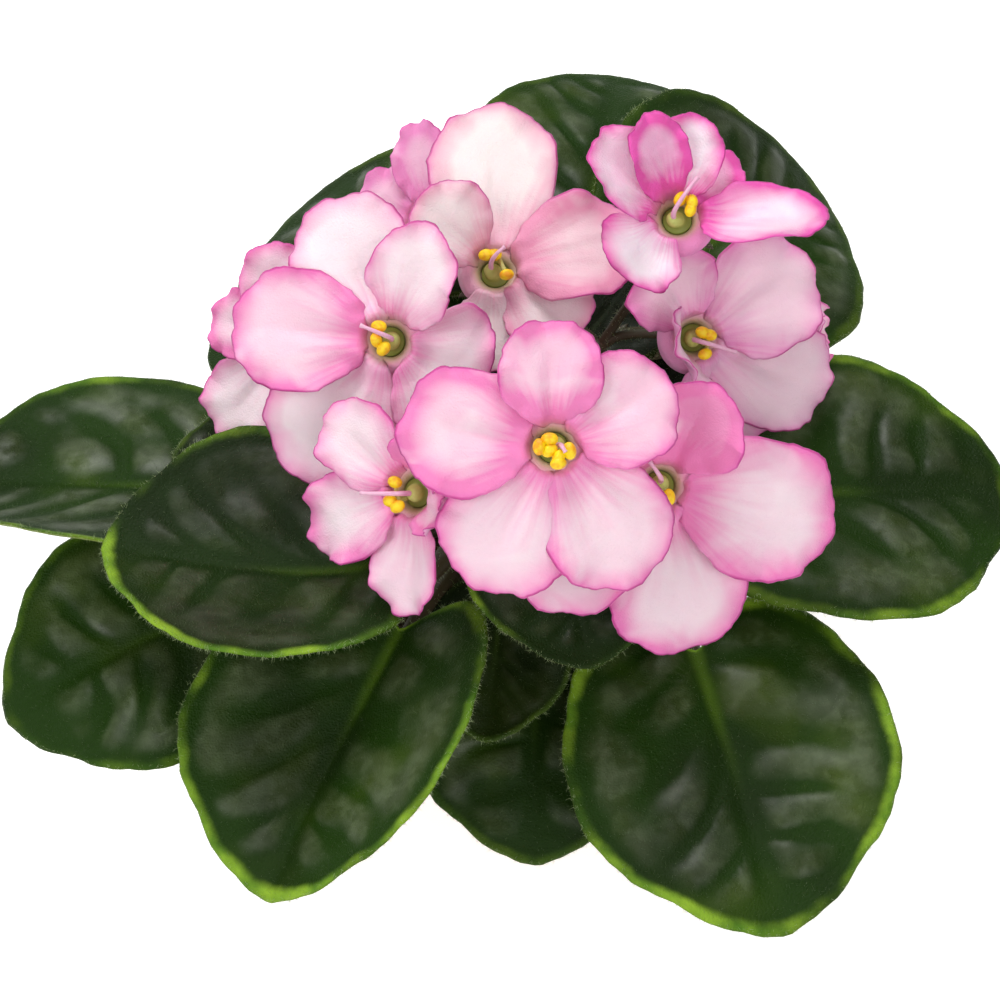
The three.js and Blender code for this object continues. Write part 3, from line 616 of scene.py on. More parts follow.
# %% the leaf's strip and outline
def leaf_strip(leaf):
    """The frame of a blade: its rule, its foot, the way it leaves the stalk and its length."""
    heading = math.radians(leaf["points"])
    flat = Vector((math.cos(heading), math.sin(heading), 0))
    across = Vector((0, 0, 1)).cross(flat)
    chord = turned_about(flat, across, leaf["droop"])
    across = turned_about(across, chord, leaf["roll"])
    normal = chord.cross(across)
    start = Vector(leaf["middle"]) - chord * LEAF_MIDDLE * leaf["length"]
    half = leaf["bend"] / 2
    length = leaf["length"] * math.radians(half) / math.sin(math.radians(half))
    forward = turned_about(chord, across, -half)
    normal = turned_about(normal, across, -half)
    place = bent_strip(start, forward, across, normal, length, leaf["bend"])
    return place, start, forward, length


def leaf_outline(turn):
    """How far the edge lies from the middle, for a leaf of length 1."""
    from_tip = abs(np.arctan2(np.sin(turn), np.cos(turn)))
    from_stalk = math.pi - from_tip
    lobes = 0.06 * hump(from_stalk, 0.35, 0.5)
    notch = LEAF_NOTCH * hump(from_stalk, 0.24)
    tip = 0.015 * hump(from_tip, 0.25) - 0.045 * hump(from_tip, 0.4, 0.7)
    teeth = 0.004 * np.cos(turn * LEAF_TEETH)
    teeth = teeth + 0.0025 * np.sin(turn * LEAF_TEETH * 2.5) * np.cos(turn * 3)
    return LEAF_ROUND + lobes - notch + tip + teeth


# %% one blade
def leaf_blade(leaf):
    place, _, _, length = leaf_strip(leaf)
    segments, rings = (112, 56) if leaf["width"] > GROWN else (64, 32)
    piece, share, turn, side = pressed_sphere(leaf["name"], segments, rings)
    reach = share * (LEAF_ROUND + (leaf_outline(turn) - LEAF_ROUND) * share * share)
    along = LEAF_MIDDLE + reach * np.cos(turn)
    across = reach * np.sin(turn) * leaf["width"] / (2 * LEAF_ROUND)
    fold = math.radians(leaf["fold"])
    curl_at, curl = leaf["curl"]
    wave = 0.8 * np.sin(3 * turn + leaf["node"]) * share**3
    lifted = curl * hump(turn, 0.6, math.radians(curl_at)) * share**4
    height = abs(across) * math.sin(fold) + leaf["cup"] * share * share + wave + lifted
    swell, relief = leaf_relief(along, across / leaf["length"], share, leaf["node"] + leaf["points"])
    height = height + relief
    half = side * LEAF_THICKNESS / 2
    set_points(piece, place(along * length, across * math.cos(fold), height + half))
    store(piece, "rim", share)
    store(piece, "above", side)
    store(piece, "swell", swell)
    store(piece, "lime", np.full(len(share), LIME.get(leaf["name"], 0.15)))
    store(piece, "shade", np.full(len(share), SHADE.get(leaf["name"], 0)))
    store_flat_map(piece, along, 0.5 + across / leaf["length"])
    return piece


def leaf_relief(along, across, share, seed):
    """How swollen each point is, from 0 over the side veins to 1 between them, and the relief it gives in
    millimetres: swellings, a groove along the midrib and a slightly rolled edge."""
    inside = 1 - step(share, 0.75, 0.99)
    out = abs(across)
    half = 1.7 * (across > 0)
    wander = 0.3 * np.sin(out * 8 + seed + half) + 0.22 * np.sin(along * 7 + seed * 2 + half)
    phase = (along - out * VEIN_SLOPE - out * out * VEIN_CURVE) / VEIN_GAP + wander
    width = 0.45 + out * 1.2 + 0.2 * np.sin(along * 11 + out * 6 + seed)
    valley = hump(np.sin(phase * math.pi), width) * (1 - step(out, 0.2, 0.5))
    net = 0.25 * np.sin(out * 26 + phase * 2 + seed) * np.sin(phase * math.pi + half)
    swell = np.clip((1 - valley) * (0.85 + net), 0, 1) * (1 - hump(out, 0.06))
    groove = hump(across, 0.04) * (1 - step(along, 0.5, 1.0))
    rolled = 0.45 * step(share, 0.86, 1.0)
    return swell * inside, (0.9 * swell - 0.3 * groove) * inside + rolled - 0.4


# %% one stalk
def leaf_stalk(leaf):
    place, start, forward, length = leaf_strip(leaf)
    outward = Vector((start.x, start.y, 0)).normalized()
    root = outward * 3 + Vector((0, 0, leaf["node"]))
    reach = (start - root).length
    under = lambda share, depth: place(share * length, 0, -depth)
    foot = under(0, 1.6)
    rising = root + outward * reach * 0.4 + Vector((0, 0, reach * 0.16))
    arriving = foot - np.array(forward) * reach * 0.35
    arch = bezier_line(root, rising, arriving, foot, 10)
    rib = [under(share, 1.9 - share * 1.2) for share in (0.1, 0.2, 0.3, 0.4, 0.5, 0.6, 0.7, 0.8)]
    line = np.vstack([arch, rib])
    size = min(1, 0.3 + leaf["width"] / 66)
    steps = np.linspace(0, 1, len(arch))
    radii = [*(2.2 - 0.6 * steps), *np.linspace(1.4, 0.3, len(rib))]
    smooth = smooth_line(line, 2)
    radii = np.interp(np.linspace(0, len(line) - 1, len(smooth)), range(len(line)), radii)
    return tube(leaf["name"] + "_stalk", smooth, radii * size)


# %% every leaf
def add_leaf(leaf, order):
    finish = LEAF_FINISH if leaf["width"] > GROWN else YOUNG_FINISH
    blade = dress(leaf_blade(leaf), finish)
    stalk = dress(leaf_stalk(leaf), stalk_finish)
    on_top = face_means(blade, "above") > -0.3
    at_rim = face_means(blade, "rim") > 0.975
    area = leaf["width"] * leaf["length"] * 0.8
    coat = hairs("coat", blade, int(area * 0.9), 0.9, 0.022, order, on_top)
    fringe = hairs("fringe", blade, int(leaf["width"] * 20), 1.0, 0.028, order + 100, at_rim)
    down = hairs("down", stalk, 350, 1.1, 0.03, order + 200)
    parts = [blade, stalk, dress(coat, coat_finish), dress(fringe, fringe_finish), dress(down, fringe_finish)]
    return seat(join(leaf["name"] + "_fine", parts), leaf["name"], "leaf")


leaf_pieces = [add_leaf(leaf, order) for order, leaf in enumerate(LEAVES)]
print("leaves:", len(leaf_pieces), "faces:", sum(len(p.data.polygons) for p in leaf_pieces))

# %% [markdown]
# ## Petal finish
# A petal is white in the middle and flushed with pink towards its edge and its throat, and the very edge is a
# thin magenta line. Fine streaks run out of the throat. The back is an even pink. Petals scatter light under
# their skin, so some of it is let through, and a fine grain gives the skin its crystal look. A painted picture
# would blur close by, so the finish is summed from what each point stores: how near the rim it is, how far from
# the throat, and how pink its petal is.

# %% the petal's colours
def petal_finish(name, white, pink, strength):
    finish = Finish(name, Subsurface_Weight=0.2, Subsurface_Scale=0.0012, Specular_IOR_Level=0.25)
    finish.shader.inputs["Subsurface Radius"].default_value = (1, 0.45, 0.6)
    along, wide = finish.flat()
    across = wide - 0.5
    rim = finish.attribute("rim")
    tint = finish.attribute("tint")
    deep = finish.attribute("deep")
    broad = finish.speckle(110, 2, Distortion=0.5)
    patch = finish.speckle(260, 3)
    fine = finish.speckle(3500, 2)
    fan = across / (along * 0.9 + 0.16)
    streak = step(finish.streaks(along * 0.7 + tint * 9, fan * 3.4), 0.36, 0.72)
    outer = step(along, 0.2, 0.5)
    margin = step(rim + (broad - 0.5) * 0.75 + (tint - 0.5) * 0.3, 0.42, 1.12) * (0.45 + outer * 0.55)
    throat = 1 - step(along, 0.03, 0.45)
    veined = streak * (1 - step(along, 0.15, 0.8))
    pale = step(broad, 0.5, 0.72) * outer
    pinkness = finish.attribute("flush") + margin * strength + throat * 0.4 + veined * 0.25
    face = finish.mix(pinkness * (1 - pale * 0.6), rgb(white), rgb(pink))
    band = step(rim + (patch - 0.5) * 0.06, 0.87, 0.99) * outer
    face = finish.mix(band * 0.4 * strength, face, rgb("e056b0"))
    line = step(rim + (patch - 0.5) * 0.03, 0.955, 0.985)
    face = finish.mix(line * outer * 0.8, face, rgb("c23a8a"))
    # Yellow-green in the throat is its own colour; the darker olive deeper in it is partly that green and
    # partly painted shade of the hollow.
    face = finish.mix((1 - step(deep, 2.2, 4.6)) * 0.55, face, rgb("b9bf68"))
    face = finish.mix((1 - step(deep, 0.6, 3.2)) * 0.7, face, rgb("76832f"))
    back = finish.mix(broad, rgb("e58fc2"), rgb("f3c0dc"))
    finish.colour(finish.mix(step(finish.attribute("above"), -0.4, 0.2), back, face))
    finish.roughness(0.45 + fine * 0.2)
    finish.relief(fine + patch * 3, 0.00012)
    return finish


# %% [markdown]
# ## Blooms
# A bloom has its own frame: x to its right, y up its face and z out of it. Its petals lie one behind another,
# the uppermost first, and grow together in a short throat. Yellow anthers and a pink style stand in it. A
# petal cut from a plane would have no edge, and here the edges show, so petals are pressed blades as the
# leaves are. No two blooms are alike, so there are rows again. They hold where a bloom is and where it faces,
# how its style and its ovary lean, and the place and heading of its anther lobes, in two groups. Then come
# its petals: the angle round the face, length, width, lift, backward bend, cup, share of pink and roll.

# %% the rows of blooms
def bloom_row(name, middle, turn, rise, style, ovary, anthers, petals):
    """Middle and facing of a bloom, the lean of its style and ovary, its anther lobes and its petals."""
    return locals()


SIDE_LOBES = [[(-1.4, 0, 100)], [(0.3, -1.8, 20), (1.5, -1, 60)]]
BLOOMS = [
    bloom_row("bloom_01_front", (4.5, -30.7, 132), 0, 57, (-60, 0.25), (0.9, 0.65),
     [[(-0.6, -0.5, 30), (-0.6, 1.2, 0), (-2.2, 0, 90)],
      [(0.8, -1.5, 55), (2.4, -0.6, 100), (0.7, -2.5, 10)]],
     [(92, 19.5, 16, 14, 20, 1.2, 0.45), (28, 20.5, 18, 10, 20, 1.2, 0.38),
      (170, 24, 20, 6, 22, 0.8, 0.34), (305, 25, 20, 2.5, 22, 0.6, 0.2), (241, 25, 21, 1.5, 22, 0.6, 0.2)]),
    bloom_row("bloom_02_front_right", (22, -27.4, 116), 8, 52, (120, 0.6), (0, 1),
     [[(0.7, -1.6, 90)], [(-1.4, -0.8, 0)]],
     [(61, 19.5, 16, 30, 10, 3.5, 0.85, -0.15), (135, 13, 13, 12, 20, 1.5, 0.6),
      (341, 29.5, 23, 6, 22, 1, 0.12), (213, 28, 19, 4, 22, 1, 0.2), (274, 28.5, 23, 0, 22, 1, 0.1)]),
    # The lowest petal of this bloom has a share of pink below nought, so it is whiter: painted light over the
    # shade it lies in.
    bloom_row("bloom_03_left", (-21.6, -6, 126), -15, 57, (170, 0.75), (1, 0.4),
     [[(-1.4, -0.4, 120), (0.1, -1.5, 60)], [(-1.4, 1.8, 10)]],
     [(73, 21, 15, 30, 10, 2.5, 0, -0.2), (186, 25.5, 20, 14, 22, 1, 0.3),
      (125, 25, 20, 10, 20, 1, -0.1), (343, 17, 23, 6, 20, 1, 0), (248, 27.5, 24, 2, 22, 1, -0.25)]),
    bloom_row("bloom_04_back", (-4.4, 15, 118), 0, 74, (40, 0.5), (-1, 0),
     [[(-0.2, 1.7, 0), (-1.5, 1.6, 10)], [(1.9, -2, 10)]],
     [(141, 17.5, 15, 30, 10, 1.5, 0), (12, 24.5, 19, 12, 20, 1, 0.4),
      (91, 31, 22, 6, 16, 1, -0.1), (326, 18, 17, 4, 20, 1, 0.1), (270, 17, 16, 2, 20, 1, 0)]),
    bloom_row("bloom_05_back_right", (25, 13.3, 134), -8, 72, (60, 1), (-0.8, -0.7),
     [[(0.2, 2, 60)], [(2, 0.2, 80), (2.1, 1.5, 100)]],
     [(118, 17.5, 10, 44, 10, 1.5, 0.5, 0.2), (88, 16.5, 12, 30, 10, 1.5, 0),
      (153, 19.5, 14.5, 30, -8, 4, 0.2, 0.4), (3, 24.5, 12, 14, 8, 3, 0.2, -0.5),
      (231, 13, 15.5, 8, 26, 1, 0), (58, 14.5, 11, 14, 10, 1, 0.5)]),
    bloom_row("bloom_06_right", (29.6, 6.4, 110), 22, 50, (325, 1), (-1, 0),
     [[(0.6, 0.8, -35), (1.6, 0.1, -35)], [(-0.2, -2.7, 0)]],
     [(188, 14, 14, 72, 10, 2, 0.1), (104, 15.5, 17, 14, 16, 1, 0.1),
      (14, 24, 21, 10, 20, 1, 0.05), (321, 27, 20, 4, 20, 1, 0), (280, 22, 17, 0, 20, 1, 0)]),
    bloom_row("bloom_07_front_left", (-18, -29.9, 118), -45, 45, (215, 1), (0.3, 0.2),
     [[(-2.2, 0.6, 20)], [(-1, -2.2, 30), (0.7, -2, 60)]],
     [(85, 12, 11, 40, 10, 2, 0.6), (171, 19, 14, 16, 16, 1, 0.1),
      (233, 21, 15, 8, 20, 1, 0.05), (12, 11, 9, 46, 10, 2, 0.5), (298, 20, 12, 4, 10, 2, 0.2)]),
    bloom_row("bloom_08_left_behind", (-39.8, 6.4, 108), -20, 52, (120, 0.6), (0.4, 0.8), SIDE_LOBES,
     [(110, 17.5, 13, 12, 16, 1, 0.2), (55, 15, 13, 10, 16, 1, 0),
      (172, 14.5, 12, 8, 20, 1, 0.2), (246, 20, 15, 4, 20, 1, 0), (310, 16, 14, 2, 20, 1, 0)]),
    bloom_row("bloom_09_back_left", (-16.2, 33.1, 108), -60, 66, (100, 1), (0.4, 0.8), SIDE_LOBES,
     [(149, 18.5, 10, 16, 10, 1.5, 0.4), (206, 15, 14, 14, 10, 1, 0.4),
      (90, 15, 14, 10, 16, 1, 0.4), (30, 16, 15, 6, 20, 1, 0.3), (300, 14, 14, 4, 20, 1, 0.3)]),
    bloom_row("bloom_10_right_behind", (48.5, 15.8, 95.2), 85, 20, (90, 0.3), (0.4, 0.8), SIDE_LOBES,
     [(126, 10, 9, 60, 10, 1.2, 0.2), (54, 10, 9, 60, 10, 1.2, 0.2),
      (198, 10, 9, 58, 10, 1.2, 0.2), (342, 11, 8, 54, 10, 1.2, 0.4), (270, 10, 9, 60, 10, 1.2, 0.3)]),
]

# How far from the middle two neighbouring petals are grown together. The two lowest of the front bloom are
# so for nearly their whole length, and the second of them lies in the same layer as the first.
JOINED = 7
JOINED_LONGER = {("bloom_01_front", 241, 305): 30}
SAME_LAYER = ("bloom_01_front", 241)
DIVE = 0.55  # how deep an edge goes for each millimetre past the line between two petals
DIVE_REACH = 4

PETAL_THICKNESS = 0.8
PETAL_MIDDLE = 0.56
PETAL_START = 2.9
PETAL_LAYER = 0.85
PETALS_APART = 8
THROAT_DEPTH = 3.4
THROAT_INNER = 2.4
THROAT_MOUTH = 3.8
THROAT_DIP = 3.2
print("petals to make:", sum(len(bloom["petals"]) for bloom in BLOOMS))


# %% the bloom's frame
def bloom_frame(bloom):
    """The matrix that takes a bloom from its own frame to its place on the plant. Millimetres."""
    turn, rise = math.radians(bloom["turn"]), math.radians(bloom["rise"])
    facing = Vector((math.sin(turn) * math.cos(rise), -math.cos(turn) * math.cos(rise), math.sin(rise)))
    upward = (Vector((0, 0, 1)) - facing * facing.z).normalized()
    right = upward.cross(facing)
    return Matrix.Translation(bloom["middle"]) @ Matrix((right, upward, facing)).transposed().to_4x4()


# %% one petal
def store_depth(piece):
    """How far each point lies from the middle of the throat, less when it is deep in it. Millimetres."""
    points = points_of(piece)
    store(piece, "deep", np.hypot(points[:, 0], points[:, 1]) + np.minimum(points[:, 2] + 1.4, 0) * 0.8)


def into_throat(points, order):
    """Near the middle of a bloom its petals come to one height and dip into the throat."""
    distance = np.hypot(points[:, 0], points[:, 1])
    near = 1 - step(distance, PETAL_START, PETALS_APART)
    sunk = 1 - step(distance, THROAT_INNER, THROAT_MOUTH + 1)
    points[:, 2] += (order * PETAL_LAYER - 0.5) * near - THROAT_DIP * sunk
    return points


def under_neighbours(points, bloom, direction):
    """Where petals are grown together the edge of each dives under the next, so that no edge shows."""
    distance = np.hypot(points[:, 0], points[:, 1])
    turn = np.arctan2(points[:, 1], points[:, 0]) - math.radians(direction)
    turn = np.arctan2(np.sin(turn), np.cos(turn))
    for side in (1, -1):
        gap = min(side * (row[0] - direction) % 360 for row in bloom["petals"] if row[0] != direction)
        pair = sorted((direction, (direction + side * gap) % 360))
        reach = JOINED_LONGER.get((bloom["name"], *pair), JOINED)
        past = np.clip(distance * (side * turn - math.radians(gap / 2)), 0, DIVE_REACH)
        points[:, 2] -= DIVE * past * (1 - step(distance, reach * 0.75, reach * 1.2))
    return points


def petal_blade(name, bloom, row, order, seed):
    direction, length, width, lift, bend, cup, pink, roll = (*row, 0)[:8]
    draw = random.Random(seed)
    angle = math.radians(direction)
    outward = Vector((math.cos(angle), math.sin(angle), 0))
    across = Vector((-math.sin(angle), math.cos(angle), 0))
    forward = turned_about(outward, across, -lift)
    normal = turned_about(Vector((0, 0, 1)), across, -lift)
    start = outward * PETAL_START + Vector((0, 0, 0.7 - order * PETAL_LAYER))
    blunt = length - PETAL_START
    place = bent_strip(start, forward, across, normal, blunt, bend)
    piece, share, turn, side = pressed_sphere(name, 96, 32)
    outer = np.cos(turn) > 0
    frill = sum(
        size * np.sin(turn * count + draw.uniform(0, 6.3))
        for count, size in ((5, 0.02), (9, 0.014), (16, 0.01), (27, 0.006), (41, 0.004))
    )
    edge = share * (1 + frill * share**6)
    inward = -PETAL_MIDDLE * abs(np.cos(turn)) ** 0.6
    reach = edge * np.where(outer, (1 - PETAL_MIDDLE) * np.cos(turn), inward)
    waist = np.where(outer, 1, 1 - 0.34 * abs(np.cos(turn)) ** 1.5)
    sideways = np.sin(turn) * edge * waist * width / 2
    ruffle = 0.9 * np.sin(6 * turn + direction) * share**4 * np.where(outer, 1, 0.4)
    crimp = 0.25 * np.sin(15 * turn + draw.uniform(0, 6.3)) * share**8
    along = PETAL_MIDDLE + reach
    fan = np.arctan2(sideways, along * blunt + 3)
    pleats = 0.24 * np.sin(fan * 11 + draw.uniform(0, 6.3)) * step(along, 0, 0.3)
    pleats *= 1 - step(along, 0.5, 0.95)
    swell = 0.45 * np.sin(reach * 6 + draw.uniform(0, 6.3)) * np.sin(sideways * 0.35 + draw.uniform(0, 6.3))
    keel = -0.5 * hump(sideways, 1.2) * (1 - step(along, 0.3, 0.9))
    tilt = roll * sideways * np.clip(along * 2, 0, 1)
    height = cup * (2 * sideways / width) ** 2 + ruffle + crimp + pleats + swell * share + keel + tilt
    points = into_throat(place(along * blunt, sideways, height + side * PETAL_THICKNESS / 2), order)
    set_points(piece, under_neighbours(points, bloom, direction))
    store_depth(piece)
    store(piece, "flush", np.full(len(share), pink))
    store(piece, "rim", share)
    store(piece, "above", side)
    store(piece, "tint", np.full(len(share), draw.random()))
    store_flat_map(piece, along, 0.5 + sideways / blunt)
    return piece


# %% lathe
def turned(name, profile, sides):
    """A ring primitive that is drawn up through the points of a profile, each a radius and a height."""
    deselect()
    radius, height = profile[0]
    bpy.ops.mesh.primitive_circle_add(vertices=sides, radius=radius, location=(0, 0, height))
    piece = bpy.context.object
    piece.name = name
    bpy.ops.object.transform_apply(location=True)
    bpy.ops.object.mode_set(mode="EDIT")
    bpy.ops.mesh.select_all(action="SELECT")
    for new_radius, new_height in profile[1:]:
        lift = {"value": (0, 0, new_height - height)}
        bpy.ops.mesh.extrude_edges_move(TRANSFORM_OT_translate=lift)
        scale = new_radius / radius
        bpy.ops.transform.resize(value=(scale, scale, 1))
        radius, height = new_radius, new_height
    bpy.ops.object.mode_set(mode="OBJECT")
    return piece


def close_ends(piece):
    """Fills the open rings of a turned piece and turns its faces outwards."""
    pick(piece)
    bpy.ops.object.mode_set(mode="EDIT")
    bpy.ops.mesh.select_all(action="DESELECT")
    bpy.ops.mesh.select_non_manifold()
    bpy.ops.mesh.fill_holes(sides=0)
    bpy.ops.mesh.select_all(action="SELECT")
    bpy.ops.mesh.normals_make_consistent(inside=False)
    bpy.ops.object.mode_set(mode="OBJECT")


# %% petals with their throat
THROAT_UNDERSIDE = [(3.2, -THROAT_DEPTH), (3.5, -2.6), (4.2, -2.2), (5.2, -2.5), (6.2, -3)]
THROAT_FACE = [(6.3, -2.9), (5.4, -2), (4.8, -1.6), (4.2, -1.45), (3.6, -1.55), (3.1, -1.85), (2.7, -2.3)]
THROAT_FACE += [(2.45, -2.8), (THROAT_INNER, -THROAT_DEPTH)]
# A line inside the wall: what lies over it is part of the face, and the rest of the underside.
THROAT_WALL_MIDDLE = [(2.4, -9), (2.8, -3.4), (3.5, -2.1), (4.2, -1.8), (5.2, -2.2), (6.2, -2.95)]


def throat_tube(name):
    """The short tube of a bloom, with a low skirt that closes the slits between the feet of its petals."""
    piece = turned(name, [THROAT_FACE[-1], *THROAT_UNDERSIDE, *THROAT_FACE], 40)
    weld(piece)
    count = len(piece.data.vertices)
    for number, value in (("rim", 0), ("tint", 0.5), ("flush", 0.2)):
        store(piece, number, np.full(count, value))
    points = points_of(piece)
    inside = np.interp(np.hypot(points[:, 0], points[:, 1]), *zip(*THROAT_WALL_MIDDLE))
    store(piece, "above", np.where(points[:, 2] > inside, 1, -1))
    store_depth(piece)
    store_flat_map(piece, np.zeros(count), np.full(count, 0.5))
    return piece


def corolla(bloom, finish, seed):
    name = bloom["name"]
    parts = [throat_tube(name)]
    for order, row in enumerate(bloom["petals"]):
        layer = order - ((name, row[0]) == SAME_LAYER)
        parts.append(petal_blade(f"{name}_petal_{order}", bloom, row, layer, seed * 10 + order))
    for part in parts:
        dress(part, finish)
    piece = join(name + "_petals_fine", parts)
    piece.data.transform(bloom_frame(bloom))
    return seat(piece, name + "_petals", "petal")


# %% [markdown]
# ## Anthers and pistil
# The anthers are a knot of plump yellow sacs, each with a groove down its middle, on short green filaments.
# The pistil is a round green ovary in the throat with a thin pink style that leans to one side and ends in a
# slightly thicker tip. Sacs start as spheres and are pinched along the groove.

# %% their finishes
anther_finish = Finish("pollen_yellow", Roughness=0.45, Subsurface_Weight=0.1, Subsurface_Scale=0.0005)
warm = anther_finish.speckle(700, 2)
anther_finish.colour(anther_finish.mix(step(warm, 0.3, 0.6), rgb("f0a400"), rgb("ffdc0a")))
anther_finish.relief(anther_finish.speckle(5000), 0.00006)

ovary_finish = Finish("ovary_green", Roughness=0.55)
ovary_green = ovary_finish.mix(ovary_finish.speckle(900), rgb("a3b44c"), rgb("d8de86"))
up = step(ovary_finish.attribute("up"), 0.05, 0.45)
ovary_finish.colour(ovary_finish.mix(up, rgb("828d3c"), ovary_green))

filament_finish = speckled_finish("filament_green", 0.5, 500, "b7b85a", "d9cf86")
style_finish = speckled_finish("style_pink", 0.4, 500, "e29cc0", "f2cbdc")

# %% the stamens
SAC_RADIUS = 0.93
SAC_LENGTH = 1.32  # for a width of 1
FILAMENT_RADIUS = 0.36
FILAMENT_CIRCLE = 1.95


def jitter(seed):
    """A number from 0 to 1 that looks random and is the same for the same seed."""
    wave = math.sin(seed * 127.1 + 11.7) * 43758.5453
    return wave - math.floor(wave)


def anther_sac(place, size, heading):
    deselect()
    bpy.ops.mesh.primitive_uv_sphere_add(segments=20, ring_count=12, radius=size)
    sac = bpy.context.object
    points = points_of(sac)
    groove = 1 - 0.1 * hump(points[:, 0], size * 0.2) * (points[:, 2] > 0)
    points *= np.stack([np.ones(len(points)), np.full(len(points), SAC_LENGTH), groove], -1)
    set_points(sac, points)
    sac.data.transform(Matrix.Translation(place) @ Matrix.Rotation(math.radians(heading - 90), 4, "Z"))
    return dress(sac, anther_finish)


def stamens(bloom):
    lobes = [lobe for group in bloom["anthers"] for lobe in group]
    root = math.atan2(sum(y for x, y, heading in lobes), sum(x for x, y, heading in lobes))
    parts = []
    for order, group in enumerate(bloom["anthers"]):
        top = 1.6 + 0.4 * order
        for i, (x, y, heading) in enumerate(group):
            size = SAC_RADIUS * (1 + 0.12 * jitter(i + 3 * order + bloom["turn"]))
            parts.append(anther_sac((x, y, top + 0.2 * i), size, heading))
        angle = root + 0.13 - 0.26 * order
        foot = np.array([FILAMENT_CIRCLE * math.cos(angle), FILAMENT_CIRCLE * math.sin(angle), 0])
        line = smooth_line([foot + (0, 0, 0.3 * order - 2.4), foot, (*group[0][:2], top)], 5)
        filament = tube("filament", line, np.full(len(line), FILAMENT_RADIUS), 2)
        parts.append(dress(filament, filament_finish))
    piece = join(bloom["name"] + "_stamens_fine", parts)
    piece.data.transform(bloom_frame(bloom))
    return seat(piece, bloom["name"] + "_stamens", "anther")


# %% the pistil
OVARY_HEIGHT = 3.8
OVARY_FOOT = 1.15
OVARY = [(2.34, 0), (2.34, OVARY_FOOT - 0.1), (2.25, OVARY_FOOT), (1.9, 1.3), (1.6, 1.5), (1.46, 1.8)]
OVARY += [(1.42, 2.2), (1.3, 2.7), (1.08, 3.1), (0.76, 3.5), (0.38, OVARY_HEIGHT)]
STYLE_REACH = 6.75


def pistil(bloom):
    style_at, share = bloom["style"]
    tilt_x, tilt_y = bloom["ovary"]
    base = -THROAT_DEPTH - 0.4
    top = base + OVARY_HEIGHT
    angle = math.radians(style_at)
    reach = STYLE_REACH * share
    ovary = turned("ovary", [(radius, base + height) for radius, height in OVARY], 28)
    close_ends(ovary)
    points = points_of(ovary)
    up = np.clip((points[:, 2] - base - OVARY_FOOT) / (OVARY_HEIGHT - OVARY_FOOT), 0, 1)
    points[:, :2] += np.outer(up, (tilt_x, tilt_y))
    set_points(ovary, points)
    store(ovary, "up", up)
    dress(ovary, ovary_finish)

    def along(out, height, tilt=1):
        return tilt_x * tilt + math.cos(angle) * out, tilt_y * tilt + math.sin(angle) * out, height

    rising = [along(0, top - 1.4, 0.65), along(min(0.5, reach / 3), top + 1.8)]
    line = smooth_line([*rising, along(reach / 2, 3.6), along(reach, 3.9)], 7)
    steps = np.linspace(0, 1, len(line))
    radii = 0.48 - 0.22 * steps + 0.2 * hump(steps, 0.03, 0.98)
    style = dress(tube("style", line, radii), style_finish)
    piece = join(bloom["name"] + "_pistil_fine", [ovary, style])
    piece.data.transform(bloom_frame(bloom))
    return seat(piece, bloom["name"] + "_pistil", "pistil")


# %% every bloom
PALE = petal_finish("petal_pale", "f9e5ea", "ef86be", 1.05)
CREAM = petal_finish("petal_cream", "f2e5e3", "e89ab8", 1.0)
BRIGHT = petal_finish("petal_bright", "f8e9f0", "ea5fb4", 1.15)
DUSKY = petal_finish("petal_dusky", "f2d3de", "e58cc0", 0.95)
FINISH_OF = {
    "bloom_04_back": CREAM, "bloom_05_back_right": BRIGHT,
    "bloom_06_right": DUSKY, "bloom_09_back_left": DUSKY,
}

for order, bloom in enumerate(BLOOMS):
    corolla(bloom, FINISH_OF.get(bloom["name"], PALE), order)
    stamens(bloom)
    pistil(bloom)
print("blooms:", len(BLOOMS))

# %% [markdown]
# ## Flower stalks
# Each stalk rises from the crown, forks and ends in pedicels. A pedicel carries a small cup with five pointed
# sepals behind the petals, and two bracts sit at the fork. They are brownish green and hairy. A cylinder would
# have to be bent ring by ring, so a stalk is drawn as a curve with a round section and then made a mesh.

# %% one calyx
def spike(place_point, foot, tip, up, width, thick):
    """A flat pointed lobe: a sphere primitive drawn out to a point."""
    piece, share, turn, side = pressed_sphere("lobe", 24, 12)
    foot, tip, up = (np.array(v, float) for v in (foot, tip, up))
    forward = tip - foot
    length = np.linalg.norm(forward)
    forward /= length
    across = np.cross(up, forward)
    along = 0.5 + 0.5 * share * np.cos(turn)
    taper = 1 - along**2
    sideways = share * np.sin(turn) * width / 2 * taper**0.5
    droop = -0.12 * length * along**2
    height = side * thick / 2 + droop
    points = foot + forward * along[:, None] * length + across * sideways[:, None]
    set_points(piece, place_point(points + np.outer(height, up)))
    return piece


def in_frame(matrix):
    """A rule that places an array of points by a matrix."""
    rotate = np.array(matrix.to_3x3())
    shift = np.array(matrix.translation)
    return lambda points: np.asarray(points) @ rotate.T + shift


CALYX_CUP = [(0.9, -2.5), (1.5, -1.9), (2.1, -0.8), (2.1, -0.1), (1.6, 0)]
SEPALS = 5
SEPAL_SLOPE = math.radians(24)
SEPAL_LENGTH, SEPAL_WIDTH, SEPAL_THICKNESS = 6.5, 2.3, 0.8


def calyx(bloom):
    to_place = in_frame(bloom_frame(bloom))
    top = -THROAT_DEPTH - 0.7
    cup = turned("cup", [(radius, top + height) for radius, height in CALYX_CUP], 24)
    close_ends(cup)
    set_points(cup, to_place(points_of(cup)))
    parts = [cup]
    for i in range(SEPALS):
        angle = math.radians(90) + (i + 0.5) / SEPALS * 2 * math.pi
        out = np.array([math.cos(angle), math.sin(angle), 0])
        slope = out * math.cos(SEPAL_SLOPE) - np.array([0, 0, math.sin(SEPAL_SLOPE)])
        up = np.array([0, 0, 1]) + out * math.tan(SEPAL_SLOPE)
        foot = out * 1.1 + (0, 0, top - 0.9)
        up = up / np.linalg.norm(up)
        tip = foot + slope * SEPAL_LENGTH
        parts.append(spike(to_place, foot, tip, up, SEPAL_WIDTH, SEPAL_THICKNESS))
    return parts


